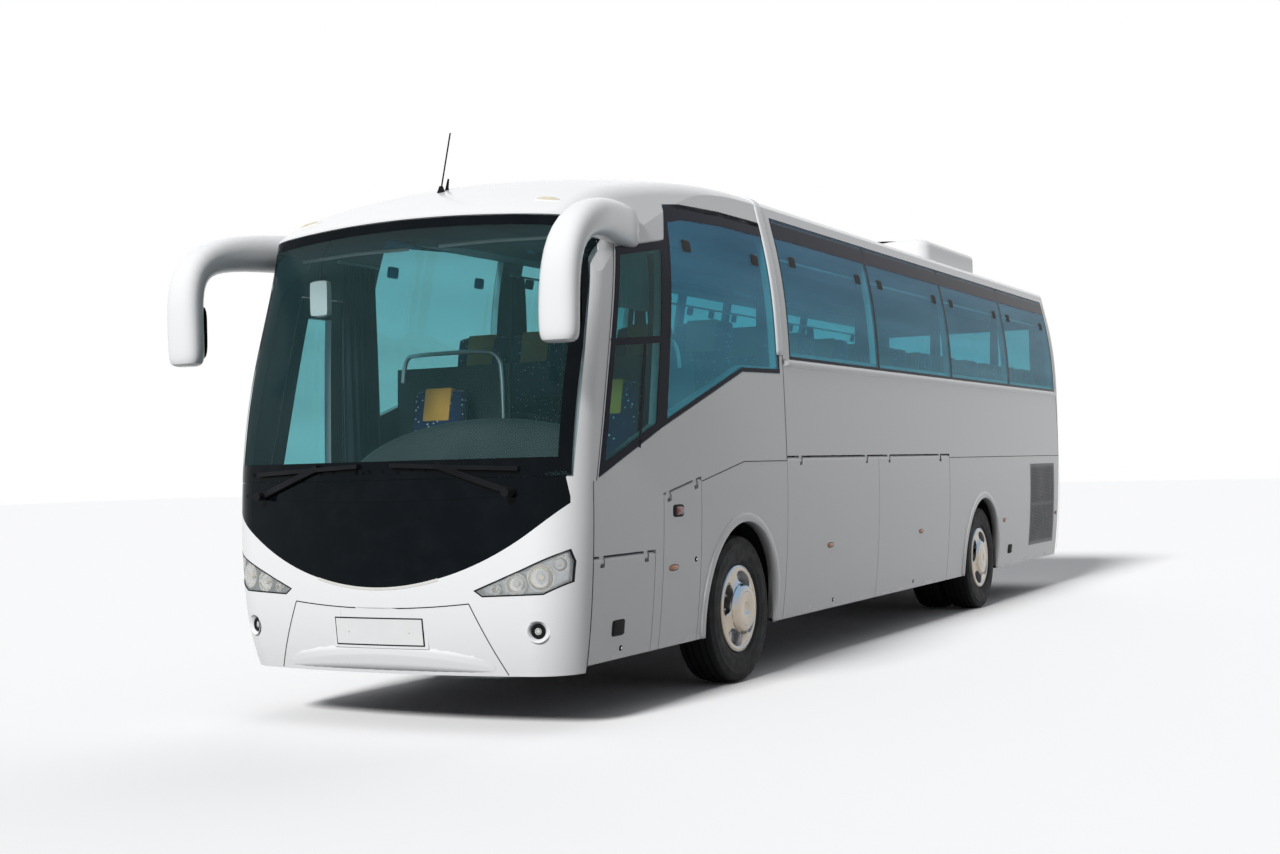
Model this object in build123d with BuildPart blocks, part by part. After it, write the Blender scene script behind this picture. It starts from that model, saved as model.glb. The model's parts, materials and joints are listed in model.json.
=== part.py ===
from build123d import *
import os
from math import asin, cos, pi, radians, sin, sqrt, tan

# Coach bus on two axles with twin rear wheels. Millimetres, +X forward, +Y left, +Z up,
# origin on the ground below the middle of the overall length. Places along the body are
# written as distances ahead of the front axle, with negative ones behind it.

# Overall sizes
body_length = 12350
body_width = 2550
wheelbase = 6155
front_overhang = 2660
mirror_reach = 170
crown_height = 3640
skirt_height = 372
belt_height = 1560
floor_height = 1450
cab_floor_height = 1000
window_foot = 2335
window_head = 3412
roof_foot = 3440

# Walls, glass and clearances
wall = 60
pane = 8
bond = 0.3
pane_gap = 6
glass_lip = 45
door_gap = 6
hinge_gap = 5
floor_thickness = 45

# Plan corners and roof curves
front_bow = 4800
front_corner = 300
rear_corner = 180
crown_bow = 5600
roof_corner = 145
roof_corner_centre = 985
roof_edge_angle = 70
dome_bow = 11000
dome_turn = 11.5
brow_bow = 2100
brow_turn = 26
dome_start = -600

# Wheels and axles
tyre_radius = 522
tyre_width = 295
rim_radius = 286
rim_flange = 303
sidewall_plane = 1222
twin_spacing = 335
arch_radius = 618
kingpin_plane = 905
hub_radius = 95
stub_radius = 45
running_gap = 0.3

# Seats along the saloon
seat_pitch = 790
seat_width = 960
seat_rows = 12
aisle_half = 215

half_width = body_width / 2
rear_overhang = body_length - wheelbase - front_overhang
front_axle_x = (body_length + mirror_reach) / 2 - mirror_reach - front_overhang
rear_axle_x = front_axle_x - wheelbase
nose_x = front_axle_x + front_overhang
tail_x = rear_axle_x - rear_overhang
tail = -wheelbase - rear_overhang

# Outline of the body at each height: height, side tuck, nose setback, tail setback
BODY_OUTLINES = [
    (100, 130, 180, 170),
    (330, 78, 88, 150),
    (620, 40, 20, 140),
    (1060, 8, 0, 125),
    (1600, 0, 30, 80),
    (2335, 15, 180, 10),
    (3090, 85, 342, 0),
    (3800, 192, 510, 0),
]

front_cap_seam = 2230
front_cap_head = 1463
rear_cap_seam = tail + 240
pillar_seam = -790
PILLAR_LINE = [(2190, front_cap_head), (1740, 3120)]
DOME_EDGE = [(pillar_seam, roof_foot), (300, 3392), (960, 3312), (1740, 3120), (2010, 3040), (2800, 3000)]

flank_near = 300
flank_far = 1700


def outline_arcs(half, nose, bow, corner):
    """Tangent point, middle and end of the plan corner beside a bowed end."""
    turn = asin((half - corner) / (bow - corner))
    centre = nose - bow + (bow - corner) * cos(turn)
    middle = (turn + pi / 2) / 2
    return [(centre + corner * cos(t), half - corner + corner * sin(t)) for t in (turn, middle, pi / 2)]


def body_outline(half, nose, rear, inset):
    """Plan outline drawn in by inset: bowed nose, straight flanks, flat tail, round corners."""
    half, nose, rear = half - inset, nose - inset, rear + inset
    corner = rear_corner - inset
    left = outline_arcs(half, nose, front_bow - inset, front_corner - inset)
    right = [(x, -y) for x, y in left]
    bend = corner * (1 - sqrt(0.5))
    with BuildSketch() as outline:
        with BuildLine():
            ThreePointArc(right[0], (nose, 0), left[0])
            ThreePointArc(*left)
            Line(left[2], (rear + corner, half))
            ThreePointArc((rear + corner, half), (rear + bend, half - bend), (rear, half - corner))
            Line((rear, half - corner), (rear, corner - half))
            ThreePointArc((rear, corner - half), (rear + bend, bend - half), (rear + corner, -half))
            Line((rear + corner, -half), right[2])
            ThreePointArc(*reversed(right))
        make_face()
    return outline.sketch


def above_roof(inset):
    """Cross-section of the space above the roof, measured from the crown."""
    bow, corner = crown_bow - inset, roof_corner - inset
    lean = asin(roof_corner_centre / (bow - corner))
    drop = (bow - corner) * cos(lean) - bow
    edge = radians(roof_edge_angle)
    clear = 900
    run = 420

    def rim(side, angle):
        return side * (roof_corner_centre + corner * sin(angle)), drop + corner * cos(angle)

    with BuildSketch() as section:
        with BuildLine():
            ThreePointArc(rim(-1, lean), (0, 0), rim(1, lean))
            for side in (1, -1):
                foot = rim(side, edge)
                far = (foot[0] + side * run * cos(edge), foot[1] - run * sin(edge))
                ThreePointArc(rim(side, lean), rim(side, (lean + edge) / 2), foot)
                Line(foot, far)
                Line(far, (far[0], clear))
            Line((far[0], clear), (-far[0], clear))
        make_face()
    return section.sketch


def hull(inset):
    """Solid inside the body's outer surface drawn in by inset: lofted sides under the domed roof."""
    with BuildPart() as sides:
        for height, tuck, nose_setback, tail_setback in BODY_OUTLINES:
            with BuildSketch(Plane.XY.offset(height)):
                add(body_outline(half_width - tuck, nose_x - nose_setback, tail_x + tail_setback, inset))
        loft()
    crown, dome, brow = crown_height - inset, dome_bow - inset, brow_bow - inset
    start = front_axle_x + dome_start
    turn = radians(dome_turn)
    brow_start = (start + dome * sin(turn), 0, crown - dome + dome * cos(turn))
    with BuildPart() as rear_sky:
        with BuildSketch(Plane((start, 0, crown), x_dir=(0, 1, 0), z_dir=(1, 0, 0))):
            add(above_roof(inset))
        extrude(amount=tail_x - start - 500)
    with BuildPart() as dome_sky:
        with BuildSketch(Plane((start, 0, crown), x_dir=(0, 1, 0), z_dir=(1, 0, 0))):
            add(above_roof(inset))
        revolve(axis=Axis((start, 0, crown - dome), (0, 1, 0)), revolution_arc=dome_turn)
    with BuildPart() as brow_sky:
        with BuildSketch(Plane(brow_start, x_dir=(0, 1, 0), z_dir=(cos(turn), 0, -sin(turn)))):
            add(above_roof(inset))
        centre = (brow_start[0] - brow * sin(turn), 0, brow_start[2] - brow * cos(turn))
        revolve(axis=Axis(centre, (0, 1, 0)), revolution_arc=brow_turn)
    return sides.part - rear_sky.part - dome_sky.part - brow_sky.part


def flank(points, side=1, grow=0, near=flank_near, far=flank_far):
    """Prism across one flank over a side-view outline of (ahead of the front axle, height) points."""
    with BuildPart() as prism:
        with BuildSketch(Plane.XZ.offset(-side * near)):
            with BuildLine():
                Polyline(*[(front_axle_x + ahead, height) for ahead, height in points], close=True)
            make_face()
            if grow:
                offset(amount=grow, kind=Kind.INTERSECTION)
        extrude(amount=-side * (far - near))
    return prism.part


def span(rear, front, foot, head):
    """Four corners of an upright rectangle in a side or front view."""
    return [(rear, foot), (front, foot), (front, head), (rear, head)]


def through(outline, start, depth):
    """Prism along X over an outline of (left, height), from a distance ahead of the front axle."""
    with BuildPart() as prism:
        with BuildSketch(Plane.YZ.offset(front_axle_x + start)):
            add(outline)
        extrude(amount=depth)
    return prism.part


def polygon(points, grow=0):
    """Flat outline with straight edges, drawn out by grow."""
    with BuildSketch() as outline:
        with BuildLine():
            Polyline(*points, close=True)
        make_face()
        if grow:
            offset(amount=grow, kind=Kind.INTERSECTION)
    return outline.sketch


def grown(outline, amount):
    """Copy of an outline drawn out by amount."""
    with BuildSketch() as copy:
        add(outline)
        offset(amount=amount, kind=Kind.INTERSECTION)
    return copy.sketch


def block(ahead, left, height):
    """Box between two values on each axis, ahead measured from the front axle."""
    with BuildPart() as box:
        with Locations((front_axle_x + sum(ahead) / 2, sum(left) / 2, sum(height) / 2)):
            Box(abs(ahead[1] - ahead[0]), abs(left[1] - left[0]), abs(height[1] - height[0]))
    return box.part


def rod(start, end, radius):
    """Round bar between two points."""
    axis = Vector(*end) - Vector(*start)
    with BuildPart() as bar:
        with BuildSketch(Plane(start, z_dir=axis)):
            Circle(radius)
        extrude(amount=axis.length)
    return bar.part


def joined(pieces):
    """One solid from pieces that run into each other."""
    with BuildPart() as whole:
        for piece in pieces:
            add(piece)
    return whole.part


def grouped(pieces):
    """One node of separate solids."""
    return Compound([solid for piece in pieces for solid in piece.solids()])


def write(part, name):
    """Label a finished piece and write its file."""
    part.label = name
    export_step(part, "parts/" + name + ".step")


os.makedirs("parts", exist_ok=True)

# Body surfaces: outside, inside of the wall, back of the glass and the seats against each
outer = hull(0)
inner = hull(wall)
lining = hull(wall + bond)
beyond = hull(-30)
skin = hull(-bond)
shell = outer - inner
pane_layer = outer - hull(pane)
rebate_layer = beyond - hull(pane + bond)
trim_layer = beyond - skin


def half_width_at(height):
    """Half width of the straight flank at a height."""
    with BuildPart() as slab:
        with Locations((0, 0, height)):
            Box(20, 2 * body_width, 0.02)
    return (outer & slab.part).bounding_box().max.Y


# Hinges
hinge_roll = wall / 2 - 1
pin_radius = 10
ear_radius = 23
ear_width = 54
ear_share = (0.14, 0.86)


def along(start, end, share):
    """Point a share of the way from start to end."""
    return tuple(a + (b - a) * share for a, b in zip(start, end))


def hinge_stations(start, end):
    """Middle of each hinge ear and the unit direction of the axis."""
    axis = (Vector(*end) - Vector(*start)).normalized()
    return axis, [Vector(*along(start, end, share)) for share in ear_share]


def hinge_up(axis):
    """Direction across a hinge axis that points up."""
    return axis.cross(Vector(0, 0, 1)).cross(axis)


def hinged(panel, start, end):
    """Panel with a rolled edge about its hinge axis, notched for the ears and pinned through them."""
    axis, stations = hinge_stations(start, end)
    panel = panel + rod(start, end, hinge_roll)
    half_notch = axis * (ear_width / 2 + hinge_gap)
    for centre in stations:
        with BuildPart() as notch:
            with BuildSketch(Plane(tuple(centre - half_notch), x_dir=hinge_up(axis), z_dir=axis)):
                Rectangle(2 * wall / 2 + 8, 2 * wall)
            extrude(amount=half_notch.length * 2)
        panel = panel - notch.part
        panel = panel + rod(tuple(centre - half_notch * 1.1), tuple(centre + half_notch * 1.1), pin_radius)
    return panel


def hinge_seat(panel, start, end):
    """Fixed panel cut back above a rolled edge so that the flap opens, with bored ears that carry its pins."""
    axis, stations = hinge_stations(start, end)
    length = (Vector(*end) - Vector(*start)).length + 2 * door_gap
    with BuildPart() as relief:
        with BuildSketch(Plane(along(start, end, 0.5), x_dir=axis, z_dir=hinge_up(axis))):
            Rectangle(length, 4 * wall)
        extrude(amount=wall / 2 + hinge_gap + 1)
    panel = panel - relief.part
    half_ear = axis * (ear_width / 2)
    for centre in stations:
        panel = panel + rod(tuple(centre - half_ear), tuple(centre + half_ear), ear_radius)
        with BuildPart() as stem:
            with BuildSketch(Plane(tuple(centre), x_dir=axis, z_dir=hinge_up(axis))):
                Rectangle(ear_width, 1.6 * ear_radius)
            extrude(amount=hinge_roll + 2 * hinge_gap + 30)
        panel = panel + stem.part
        panel = panel - rod(tuple(centre - half_ear * 1.2), tuple(centre + half_ear * 1.2), pin_radius + bond)
    return panel


def hinge_line(rear, front, rear_height, front_height, side):
    """Ends of a hinge axis inside one flank's wall."""
    depth = side * (half_width_at((rear_height + front_height) / 2) - wall / 2)
    return (front_axle_x + rear, depth, rear_height), (front_axle_x + front, depth, front_height)


# Flaps in the lower flanks: name, side, rear end, front end, foot, rear head, front head
slant_foot = 1331
slant_ahead = 1300
slant_start = 8


def slant(ahead):
    """Height of the slanted edge between the belt and the front wheel's locker."""
    share = (ahead - slant_start) / (slant_ahead - slant_start)
    return belt_height + (slant_foot - belt_height) * share


locker_rear = 726
strip_front = 1410
service_head = 978
bay_front = -796
bay_split = -2874
bay_rear = -4946
mid_door_rear = -4936
mid_door_front = -4096
FLAPS = [
    ("left_luggage_door_front", 1, bay_split + 3, bay_front, skirt_height, belt_height, belt_height),
    ("left_luggage_door_rear", 1, bay_rear, bay_split - 3, skirt_height, belt_height, belt_height),
    ("right_luggage_door_front", -1, bay_split + 3, bay_front, skirt_height, belt_height, belt_height),
    ("right_luggage_door_rear", -1, mid_door_front + 60, bay_split - 3, skirt_height, belt_height, belt_height),
    ("locker_door", 1, locker_rear + 6, slant_ahead - 6, skirt_height, slant(locker_rear + 6), slant(slant_ahead - 6)),
    ("service_flap", 1, strip_front + 6, front_cap_seam - 8, skirt_height, service_head, service_head),
]
flap_hinges = {}
for name, side, rear, front, foot, rear_head, front_head in FLAPS:
    hinge = hinge_line(rear, front, rear_head, front_head, side)
    flap_hinges[name] = hinge
    outline = [(rear, foot), (front, foot), (front, front_head), (rear, rear_head)]
    write(hinged(shell & flank(outline, side), *hinge), name)

# Side windows: rear end, front end, foot, head, for each side
WINDOW_ENDS = [(-2985, -935), (-5150, -2997), (-7320, -5162), (-9385, -7332)]
window_panes = {1: [span(rear, front, window_foot, window_head) for rear, front in WINDOW_ENDS]}
over_door_foot = 2835
over_door_front = -4076
right_panes = list(window_panes[1])
right_panes[1] = span(over_door_front + 12, WINDOW_ENDS[1][1], window_foot, window_head)
right_panes.insert(2, span(WINDOW_ENDS[1][0], over_door_front, over_door_foot, window_head))
window_panes[-1] = right_panes

# Front side windows: a driver's window on the left, a sweeping quarter window on both sides
quarter_outline = [(1258, 1801), (960, 3270), (706, 3303), (41, 3336), (-722, 3343), (-722, 2213), (-26, 2199)]
driver_outline = [(2158, 1486), (1768, 2902), (1063, 3020), (1328, 1779)]
front_door_outline = [(1360, 402), (2164, 402), (2164, 1450), (1810, 2748), (1360, 2748)]
front_door_glass_outline = [(1440, 1560), (2055, 1560), (1770, 2660), (1440, 2660)]
mid_door_outline = span(mid_door_rear, mid_door_front, 402, 2790)
mid_door_glass_outline = span(mid_door_rear + 85, mid_door_front - 85, 1560, 2700)
doors = {"front": (front_door_outline, front_door_glass_outline), "middle": (mid_door_outline, mid_door_glass_outline)}
door_clearance = 9


def windowed(panel, outlines, side, bands=None):
    """Panel with a hole for each glass outline inside a rebate that its glass sits in."""
    tools = [flank(outline, side, -glass_lip) for outline in outlines]
    tools += [rebate_layer & flank(outline, side, pane_gap) for outline in bands or outlines]
    return panel.cut(*tools)


def panes(outlines, side):
    """Glass for each outline, flush with the body's surface."""
    return [pane_layer & flank(outline, side) for outline in outlines]


# Side walls behind the front pillar
side_walls = []
for side in (1, -1):
    piece = shell & flank(span(rear_cap_seam, pillar_seam, belt_height, roof_foot), side)
    window_row = span(WINDOW_ENDS[-1][0], WINDOW_ENDS[0][1], window_foot, window_head)
    piece = windowed(piece, window_panes[side], side, [window_row])
    if side < 0:
        piece = piece - flank(mid_door_outline, side, door_clearance)
    for name, flap_side, *_ in FLAPS[:4]:
        if flap_side == side:
            piece = hinge_seat(piece, *flap_hinges[name])
    side_walls.append(piece)
write(grouped(side_walls), "side_walls")

# Walls beside the driver and the front door
dome_under = [point for point in DOME_EDGE if point[0] <= PILLAR_LINE[1][0]]
front_wall_outline = [(pillar_seam, belt_height), (slant_start, belt_height), (slant_ahead, slant_foot),
                      (slant_ahead, skirt_height), (strip_front, skirt_height), (strip_front, service_head),
                      (front_cap_seam, service_head), (front_cap_seam, front_cap_head)]
front_wall_outline += PILLAR_LINE[:1] + list(reversed(dome_under))
left_front = shell & flank(front_wall_outline, 1)
left_front = windowed(left_front, [quarter_outline, driver_outline], 1)
left_front = hinge_seat(left_front, *flap_hinges["locker_door"])
left_front = hinge_seat(left_front, *flap_hinges["service_flap"])
right_wall_outline = [(pillar_seam, belt_height), (slant_start, belt_height), (slant_ahead - 40, slant(slant_ahead - 40)),
                      (slant_ahead - 40, skirt_height), (front_cap_seam, skirt_height)]
right_wall_outline += [(front_cap_seam, front_cap_head)] + PILLAR_LINE[:1] + list(reversed(dome_under))
right_front = shell & flank(right_wall_outline, -1)
right_front = windowed(right_front, [quarter_outline], -1)
right_front = right_front - flank(front_door_outline, -1, door_clearance)
write(grouped([left_front, right_front]), "front_side_walls")

# Glass of both flanks
glass = panes(window_panes[1] + [quarter_outline, driver_outline], 1) + panes(window_panes[-1] + [quarter_outline], -1)
write(grouped(glass), "side_windows")

# Lower panels round the wheels, with the radiator grille on the left
grille_outline = span(-9200, -8060, 545, 1470)
lower_panels = []
for side in (1, -1):
    locker_edge = locker_rear if side > 0 else slant_ahead - 40
    front_panel = shell & flank([(bay_front + 6, skirt_height), (locker_edge, skirt_height),
                                 (locker_edge, slant(locker_edge)), (slant_start, belt_height),
                                 (bay_front + 6, belt_height)], side)
    rear_panel = shell & flank(span(rear_cap_seam, bay_rear - 6, skirt_height, belt_height), side)
    for axle, panel in ((front_axle_x, front_panel), (rear_axle_x, rear_panel)):
        with BuildPart() as arch:
            with BuildSketch(Plane.XZ.offset(-side * flank_near)):
                with Locations((axle, tyre_radius)):
                    Circle(arch_radius)
                with Locations((axle, 0)):
                    Rectangle(2 * sqrt(arch_radius**2 - (tyre_radius - skirt_height)**2), 2 * skirt_height)
            extrude(amount=-side * (flank_far - flank_near))
        panel = panel - arch.part
        if axle == rear_axle_x and side > 0:
            panel = panel - flank(grille_outline, side)
        lower_panels.append(panel)
write(grouped(lower_panels), "lower_panels")

# Radiator grille: a frame with upright bars
grille_bar_pitch = 60
grille_bar = 22
grille_frame = 40
grille = shell & flank(grille_outline, 1, -bond)
slot_count = int((1140 - 2 * grille_frame) / grille_bar_pitch)
with BuildPart() as slots:
    with BuildSketch(Plane.XZ.offset(-flank_near)):
        with Locations((front_axle_x - 8630, 1007.5)):
            with GridLocations(grille_bar_pitch, 430, slot_count, 2):
                Rectangle(grille_bar_pitch - grille_bar, 390)
    extrude(amount=-(flank_far - flank_near))
write(grille - slots.part, "radiator_grille")

# Roof and front dome
dome_side = [(pillar_seam, 4200), (pillar_seam, roof_foot)] + DOME_EDGE[1:] + [(2800, 4200)]
with BuildPart() as dome_prism:
    with BuildSketch(Plane.XZ.offset(-half_width - 100)):
        with BuildLine():
            Polyline(*[(front_axle_x + ahead, height) for ahead, height in dome_side], close=True)
        make_face()
    extrude(amount=body_width + 200)
windscreen_foot = 1500
with BuildSketch() as windscreen_outline:
    with BuildLine():
        ThreePointArc((-1176, 3050), (0, 3106), (1176, 3050))
        ThreePointArc((1176, 3050), (1232, 2250), (1226, windscreen_foot))
        Line((1226, windscreen_foot), (-1226, windscreen_foot))
        ThreePointArc((-1226, windscreen_foot), (-1232, 2250), (-1176, 3050))
    make_face()
screen_start = 1960
screen_depth = 1200
screen = through(windscreen_outline.sketch, screen_start, screen_depth)
screen_hole = through(grown(windscreen_outline.sketch, -glass_lip), screen_start - 400, screen_depth)
screen_rebate = rebate_layer & through(grown(windscreen_outline.sketch, pane_gap), screen_start - pane_gap, screen_depth)
dome = (shell & dome_prism.part) - screen_hole - screen_rebate
write(dome, "roof_dome")
roof = shell & block((rear_cap_seam, pillar_seam), (-1500, 1500), (roof_foot, 4200))
write(roof, "roof")
write(pane_layer & screen, "windscreen")

# Pillars beside the windscreen
pillar_outline = [PILLAR_LINE[0], (2900, front_cap_head), (2900, 2990), (2800, 3000), (2010, 3040), PILLAR_LINE[1]]
with BuildPart() as pillar_prism:
    with BuildSketch(Plane.XZ.offset(-half_width - 100)):
        with BuildLine():
            Polyline(*[(front_axle_x + ahead, height) for ahead, height in pillar_outline], close=True)
        make_face()
    extrude(amount=body_width + 200)

# Nose: black lid and apron under the windscreen, bumper flap, lamps
seam_tip = 1222
apron_half = 1195
apron_head = windscreen_foot + glass_lip + 5
with BuildSketch() as apron_outline:
    with BuildLine():
        ThreePointArc((-seam_tip, 1376), (0, 1276), (seam_tip, 1376))
        Line((seam_tip, 1376), (apron_half, apron_head))
        Line((apron_half, apron_head), (-apron_half, apron_head))
        Line((-apron_half, apron_head), (-seam_tip, 1376))
    make_face()
with BuildSketch() as lid_outline:
    with BuildLine():
        ThreePointArc((-seam_tip, 1376), (0, 1276), (seam_tip, 1376))
        Line((seam_tip, 1376), (seam_tip, 1340))
        ThreePointArc((seam_tip, 1340), (0, 853), (-seam_tip, 1340))
        Line((-seam_tip, 1340), (-seam_tip, 1376))
    make_face()
bumper_foot = 330
with BuildSketch() as flap_outline:
    with BuildLine():
        ThreePointArc((-634, 761), (0, 728), (634, 761))
        Line((634, 761), (837, bumper_foot - 10))
        Line((837, bumper_foot - 10), (-837, bumper_foot - 10))
        Line((-837, bumper_foot - 10), (-634, 761))
    make_face()
nose_start = front_cap_seam + 5
nose_depth = 800
apron_prism = through(apron_outline.sketch, nose_start, nose_depth)
lid_prism = through(lid_outline.sketch, nose_start, nose_depth)
flap_prism = through(flap_outline.sketch, nose_start, nose_depth)
pillars = []
for side in (1, -1):
    half = shell & pillar_prism.part & block((1500, 3000), (side * 1000, side * 1400), (1000, 3400))
    pillars.append(half.cut(screen_hole, screen_rebate, apron_prism))
write(grouped(pillars), "windscreen_pillars")
apron = (shell & apron_prism) - screen_hole - screen_rebate
write(apron, "wiper_apron")
write(shell & lid_prism, "front_lid")
LAMP_OUTLINE = [(667, 838), (720, 800), (1090, 812), (1225, 880), (1236, 1000), (1221, 1074), (960, 958)]
fog_place = (1043, 598)
fog_radius = 62
lamp_cuts = []
lamp_bodies = []
for side in (1, -1):
    headlamp = polygon([(side * left, height) for left, height in LAMP_OUTLINE])
    with BuildSketch() as fog:
        with Locations((side * fog_place[0], fog_place[1])):
            Circle(fog_radius)
    for outline in (headlamp, fog.sketch):
        lamp_bodies.append(shell & through(grown(outline, -bond), nose_start, nose_depth))
        lamp_cuts.append(through(outline, nose_start, nose_depth))
write(grouped(lamp_bodies), "front_lamps")
front_cap = shell & block((front_cap_seam, 3000), (-1400, 1400), (bumper_foot, front_cap_head))
for tool in [apron_prism, lid_prism, flap_prism] + lamp_cuts:
    front_cap = front_cap - tool
write(front_cap, "front_cap")

# Bumper flap with a flat seat and two bolt holes for the number plate
plate_height = 655
plate_seat = 2596
plate_bolt_spacing = 440
plate_bolt_radius = 3.5
bumper_flap = shell & flap_prism & block((1900, 3000), (-1400, 1400), (bumper_foot, 1000))
bumper_flap = bumper_flap - block((plate_seat, 3000), (-275, 275), (plate_height - 72, plate_height + 72))
for left in (-plate_bolt_spacing / 2, plate_bolt_spacing / 2):
    hole = rod((front_axle_x + plate_seat - 25, left, plate_height), (front_axle_x + plate_seat + 20, left, plate_height),
               plate_bolt_radius)
    bumper_flap = bumper_flap - hole
write(bumper_flap, "bumper_flap")

# Rear end: cap, window, engine lid and tail lamps
lid_half = 880
lid_foot = 560
lid_head = 1500
rear_window_outline = polygon(span(-960, 960, 2360, 3180))
tail_start = tail - 200
tail_depth = 600
rear_x = (outer & block((tail - 100, tail + 500), (-10, 10), (lid_head - 0.01, lid_head + 0.01))).bounding_box().min.X
lid_hinge = ((rear_x + wall / 2, -lid_half, lid_head), (rear_x + wall / 2, lid_half, lid_head))
rear_cap = shell & block((tail_start, rear_cap_seam), (-1400, 1400), (skirt_height + 60, 4200))
rear_cap = rear_cap - through(grown(rear_window_outline, -glass_lip), tail_start, tail_depth)
rear_cap = rear_cap - (rebate_layer & through(grown(rear_window_outline, pane_gap), tail_start, tail_depth))
rear_cap = rear_cap - through(polygon(span(-lid_half - 6, lid_half + 6, lid_foot - 6, lid_head)), tail_start, tail_depth)
rear_cap = hinge_seat(rear_cap, *lid_hinge)
tail_lamps = []
for side in (1, -1):
    lamp = polygon(span(side * 985, side * 1150, 980, 1640))
    rear_cap = rear_cap - through(lamp, tail_start, tail_depth)
    tail_lamps.append(shell & through(grown(lamp, -bond), tail_start, tail_depth))
write(rear_cap, "rear_cap")
write(grouped(tail_lamps), "tail_lamps")
write(pane_layer & through(rear_window_outline, tail_start, tail_depth), "rear_window")
lid_slab = shell & through(polygon(span(-lid_half, lid_half, lid_foot, lid_head)), tail_start, tail_depth)
write(hinged(lid_slab, *lid_hinge), "engine_lid")

# Passenger doors: name, pivot, lug, arm levels, shaft foot, shaft head
door_arm_y = -1075
DOORS = [
    ("front_door", front_door_outline, front_door_glass_outline, 2085, 1485, (700, 1400), 1560),
    ("middle_door", mid_door_outline, mid_door_glass_outline, -4850, -4250, (700, 1400), 1560),
]
lug_height = 60
arm_thickness = 30
arm_pin = 12
shaft_radius = 22
step_height = 445
for name, outline, glass_outline, pivot, lug, levels, shaft_head in DOORS:
    leaf = windowed(shell & flank(outline, -1), [glass_outline], -1)
    lug_x = front_axle_x + lug
    pivot_x = front_axle_x + pivot
    arms = rod((pivot_x, door_arm_y, step_height + bond), (pivot_x, door_arm_y, shaft_head), shaft_radius)
    for level in levels:
        low = level - lug_height / 2
        high = level + lug_height / 2
        leaf = leaf + rod((lug_x, door_arm_y, low), (lug_x, door_arm_y, high), 26)
        leaf = leaf + block((lug - 22, lug + 22), (-1228, door_arm_y), (low, high))
        leaf = leaf - rod((lug_x, door_arm_y, low - 5), (lug_x, door_arm_y, high + 5), arm_pin + bond)
        with BuildPart() as arm:
            with BuildSketch(Plane.XY.offset(high + 0.5)):
                with Locations(((pivot_x + lug_x) / 2, door_arm_y)):
                    SlotCenterToCenter(abs(pivot - lug), 52)
            extrude(amount=arm_thickness)
        arms = arms + arm.part
        arms = arms + rod((lug_x, door_arm_y, low), (lug_x, door_arm_y, high + arm_thickness), arm_pin)
    write(leaf, name)
    write(pane_layer & flank(glass_outline, -1), name + "_glass")
    write(arms, name + "_arms")

# Running gear
wheel_plane = sidewall_plane - tyre_width / 2
inner_plane = wheel_plane - twin_spacing
tyre_half = tyre_width / 2
bead_half = tyre_half - 32
flange_width = 14
rim_bore = rim_radius - 14
cap_face = 1256
stub_end = wheel_plane + bead_half + 10
knuckle_face = kingpin_plane + 105
hub_face = knuckle_face + hinge_gap


def wheel_plane_sketch(axle):
    """Plane through a wheel's axis: x is the radius, y is to the left."""
    return Plane((axle, 0, tyre_radius), x_dir=(1, 0, 0), z_dir=(0, 0, 1))


def spun(outline, axle):
    """Solid of revolution about a wheel's axis."""
    with BuildPart() as solid:
        with BuildSketch(wheel_plane_sketch(axle)):
            add(outline)
        revolve(axis=Axis((axle, 0, tyre_radius), (0, 1, 0)))
    return solid.part


def tyre(axle, plane):
    """Tyre with a crowned tread and bulged walls, centred on a plane to the left."""
    bead = rim_radius + bond
    shoulder = tyre_radius - 14
    bulge = bead + 115
    lip = rim_flange + 3
    tread_half = tyre_half - 22
    with BuildSketch() as outline:
        with BuildLine():
            Line((bead, plane - bead_half), (bead, plane + bead_half))
            ThreePointArc((shoulder, plane + tread_half), (tyre_radius, plane), (shoulder, plane - tread_half))
            for side in (1, -1):
                Line((bead, plane + side * bead_half), (lip, plane + side * bead_half))
                ThreePointArc((lip, plane + side * bead_half), (bulge, plane + side * tyre_half),
                              (shoulder, plane + side * tread_half))
        make_face()
    return spun(outline.sketch, axle)


def rim_edge(plane):
    """Outside of a rim from its outer flange to its inner one as (radius, left) points."""
    near, far = plane + bead_half, plane - bead_half
    return [(rim_flange, near + flange_width), (rim_flange, near + 1), (rim_radius, near + 1), (rim_radius, far - 1),
            (rim_flange, far - 1), (rim_flange, far - flange_width)]


near_bead = wheel_plane + bead_half
far_bead = wheel_plane - bead_half
FRONT_WHEEL = rim_edge(wheel_plane) + [
    (rim_bore, far_bead - flange_width), (rim_bore, near_bead - 45), (200, near_bead - 22), (hub_radius, near_bead - 45),
    (hub_radius, hub_face), (stub_radius + running_gap, hub_face), (stub_radius + running_gap, stub_end + hinge_gap),
    (0, stub_end + hinge_gap), (0, cap_face), (118, cap_face), (150, cap_face - 14), (216, near_bead + 12),
    (252, near_bead - 16), (rim_bore, near_bead + flange_width),
]
twin_disc = (wheel_plane + inner_plane) / 2
rear_hub_face = inner_plane - 60
REAR_WHEEL = rim_edge(wheel_plane) + [(rim_bore + 6, far_bead - flange_width)]
REAR_WHEEL += [(rim_bore + 6, inner_plane + bead_half + flange_width)] + rim_edge(inner_plane) + [
    (rim_bore, inner_plane - bead_half - flange_width), (rim_bore, twin_disc - 12), (hub_radius + 20, twin_disc - 12),
    (hub_radius + 20, rear_hub_face), (stub_radius + running_gap, rear_hub_face),
    (stub_radius + running_gap, wheel_plane + hinge_gap), (0, wheel_plane + hinge_gap), (0, cap_face - 40),
    (118, cap_face - 40), (150, cap_face - 56), (178, twin_disc + 70), (232, twin_disc + 14), (rim_bore, twin_disc + 30),
    (rim_bore, near_bead + flange_width),
]
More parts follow.
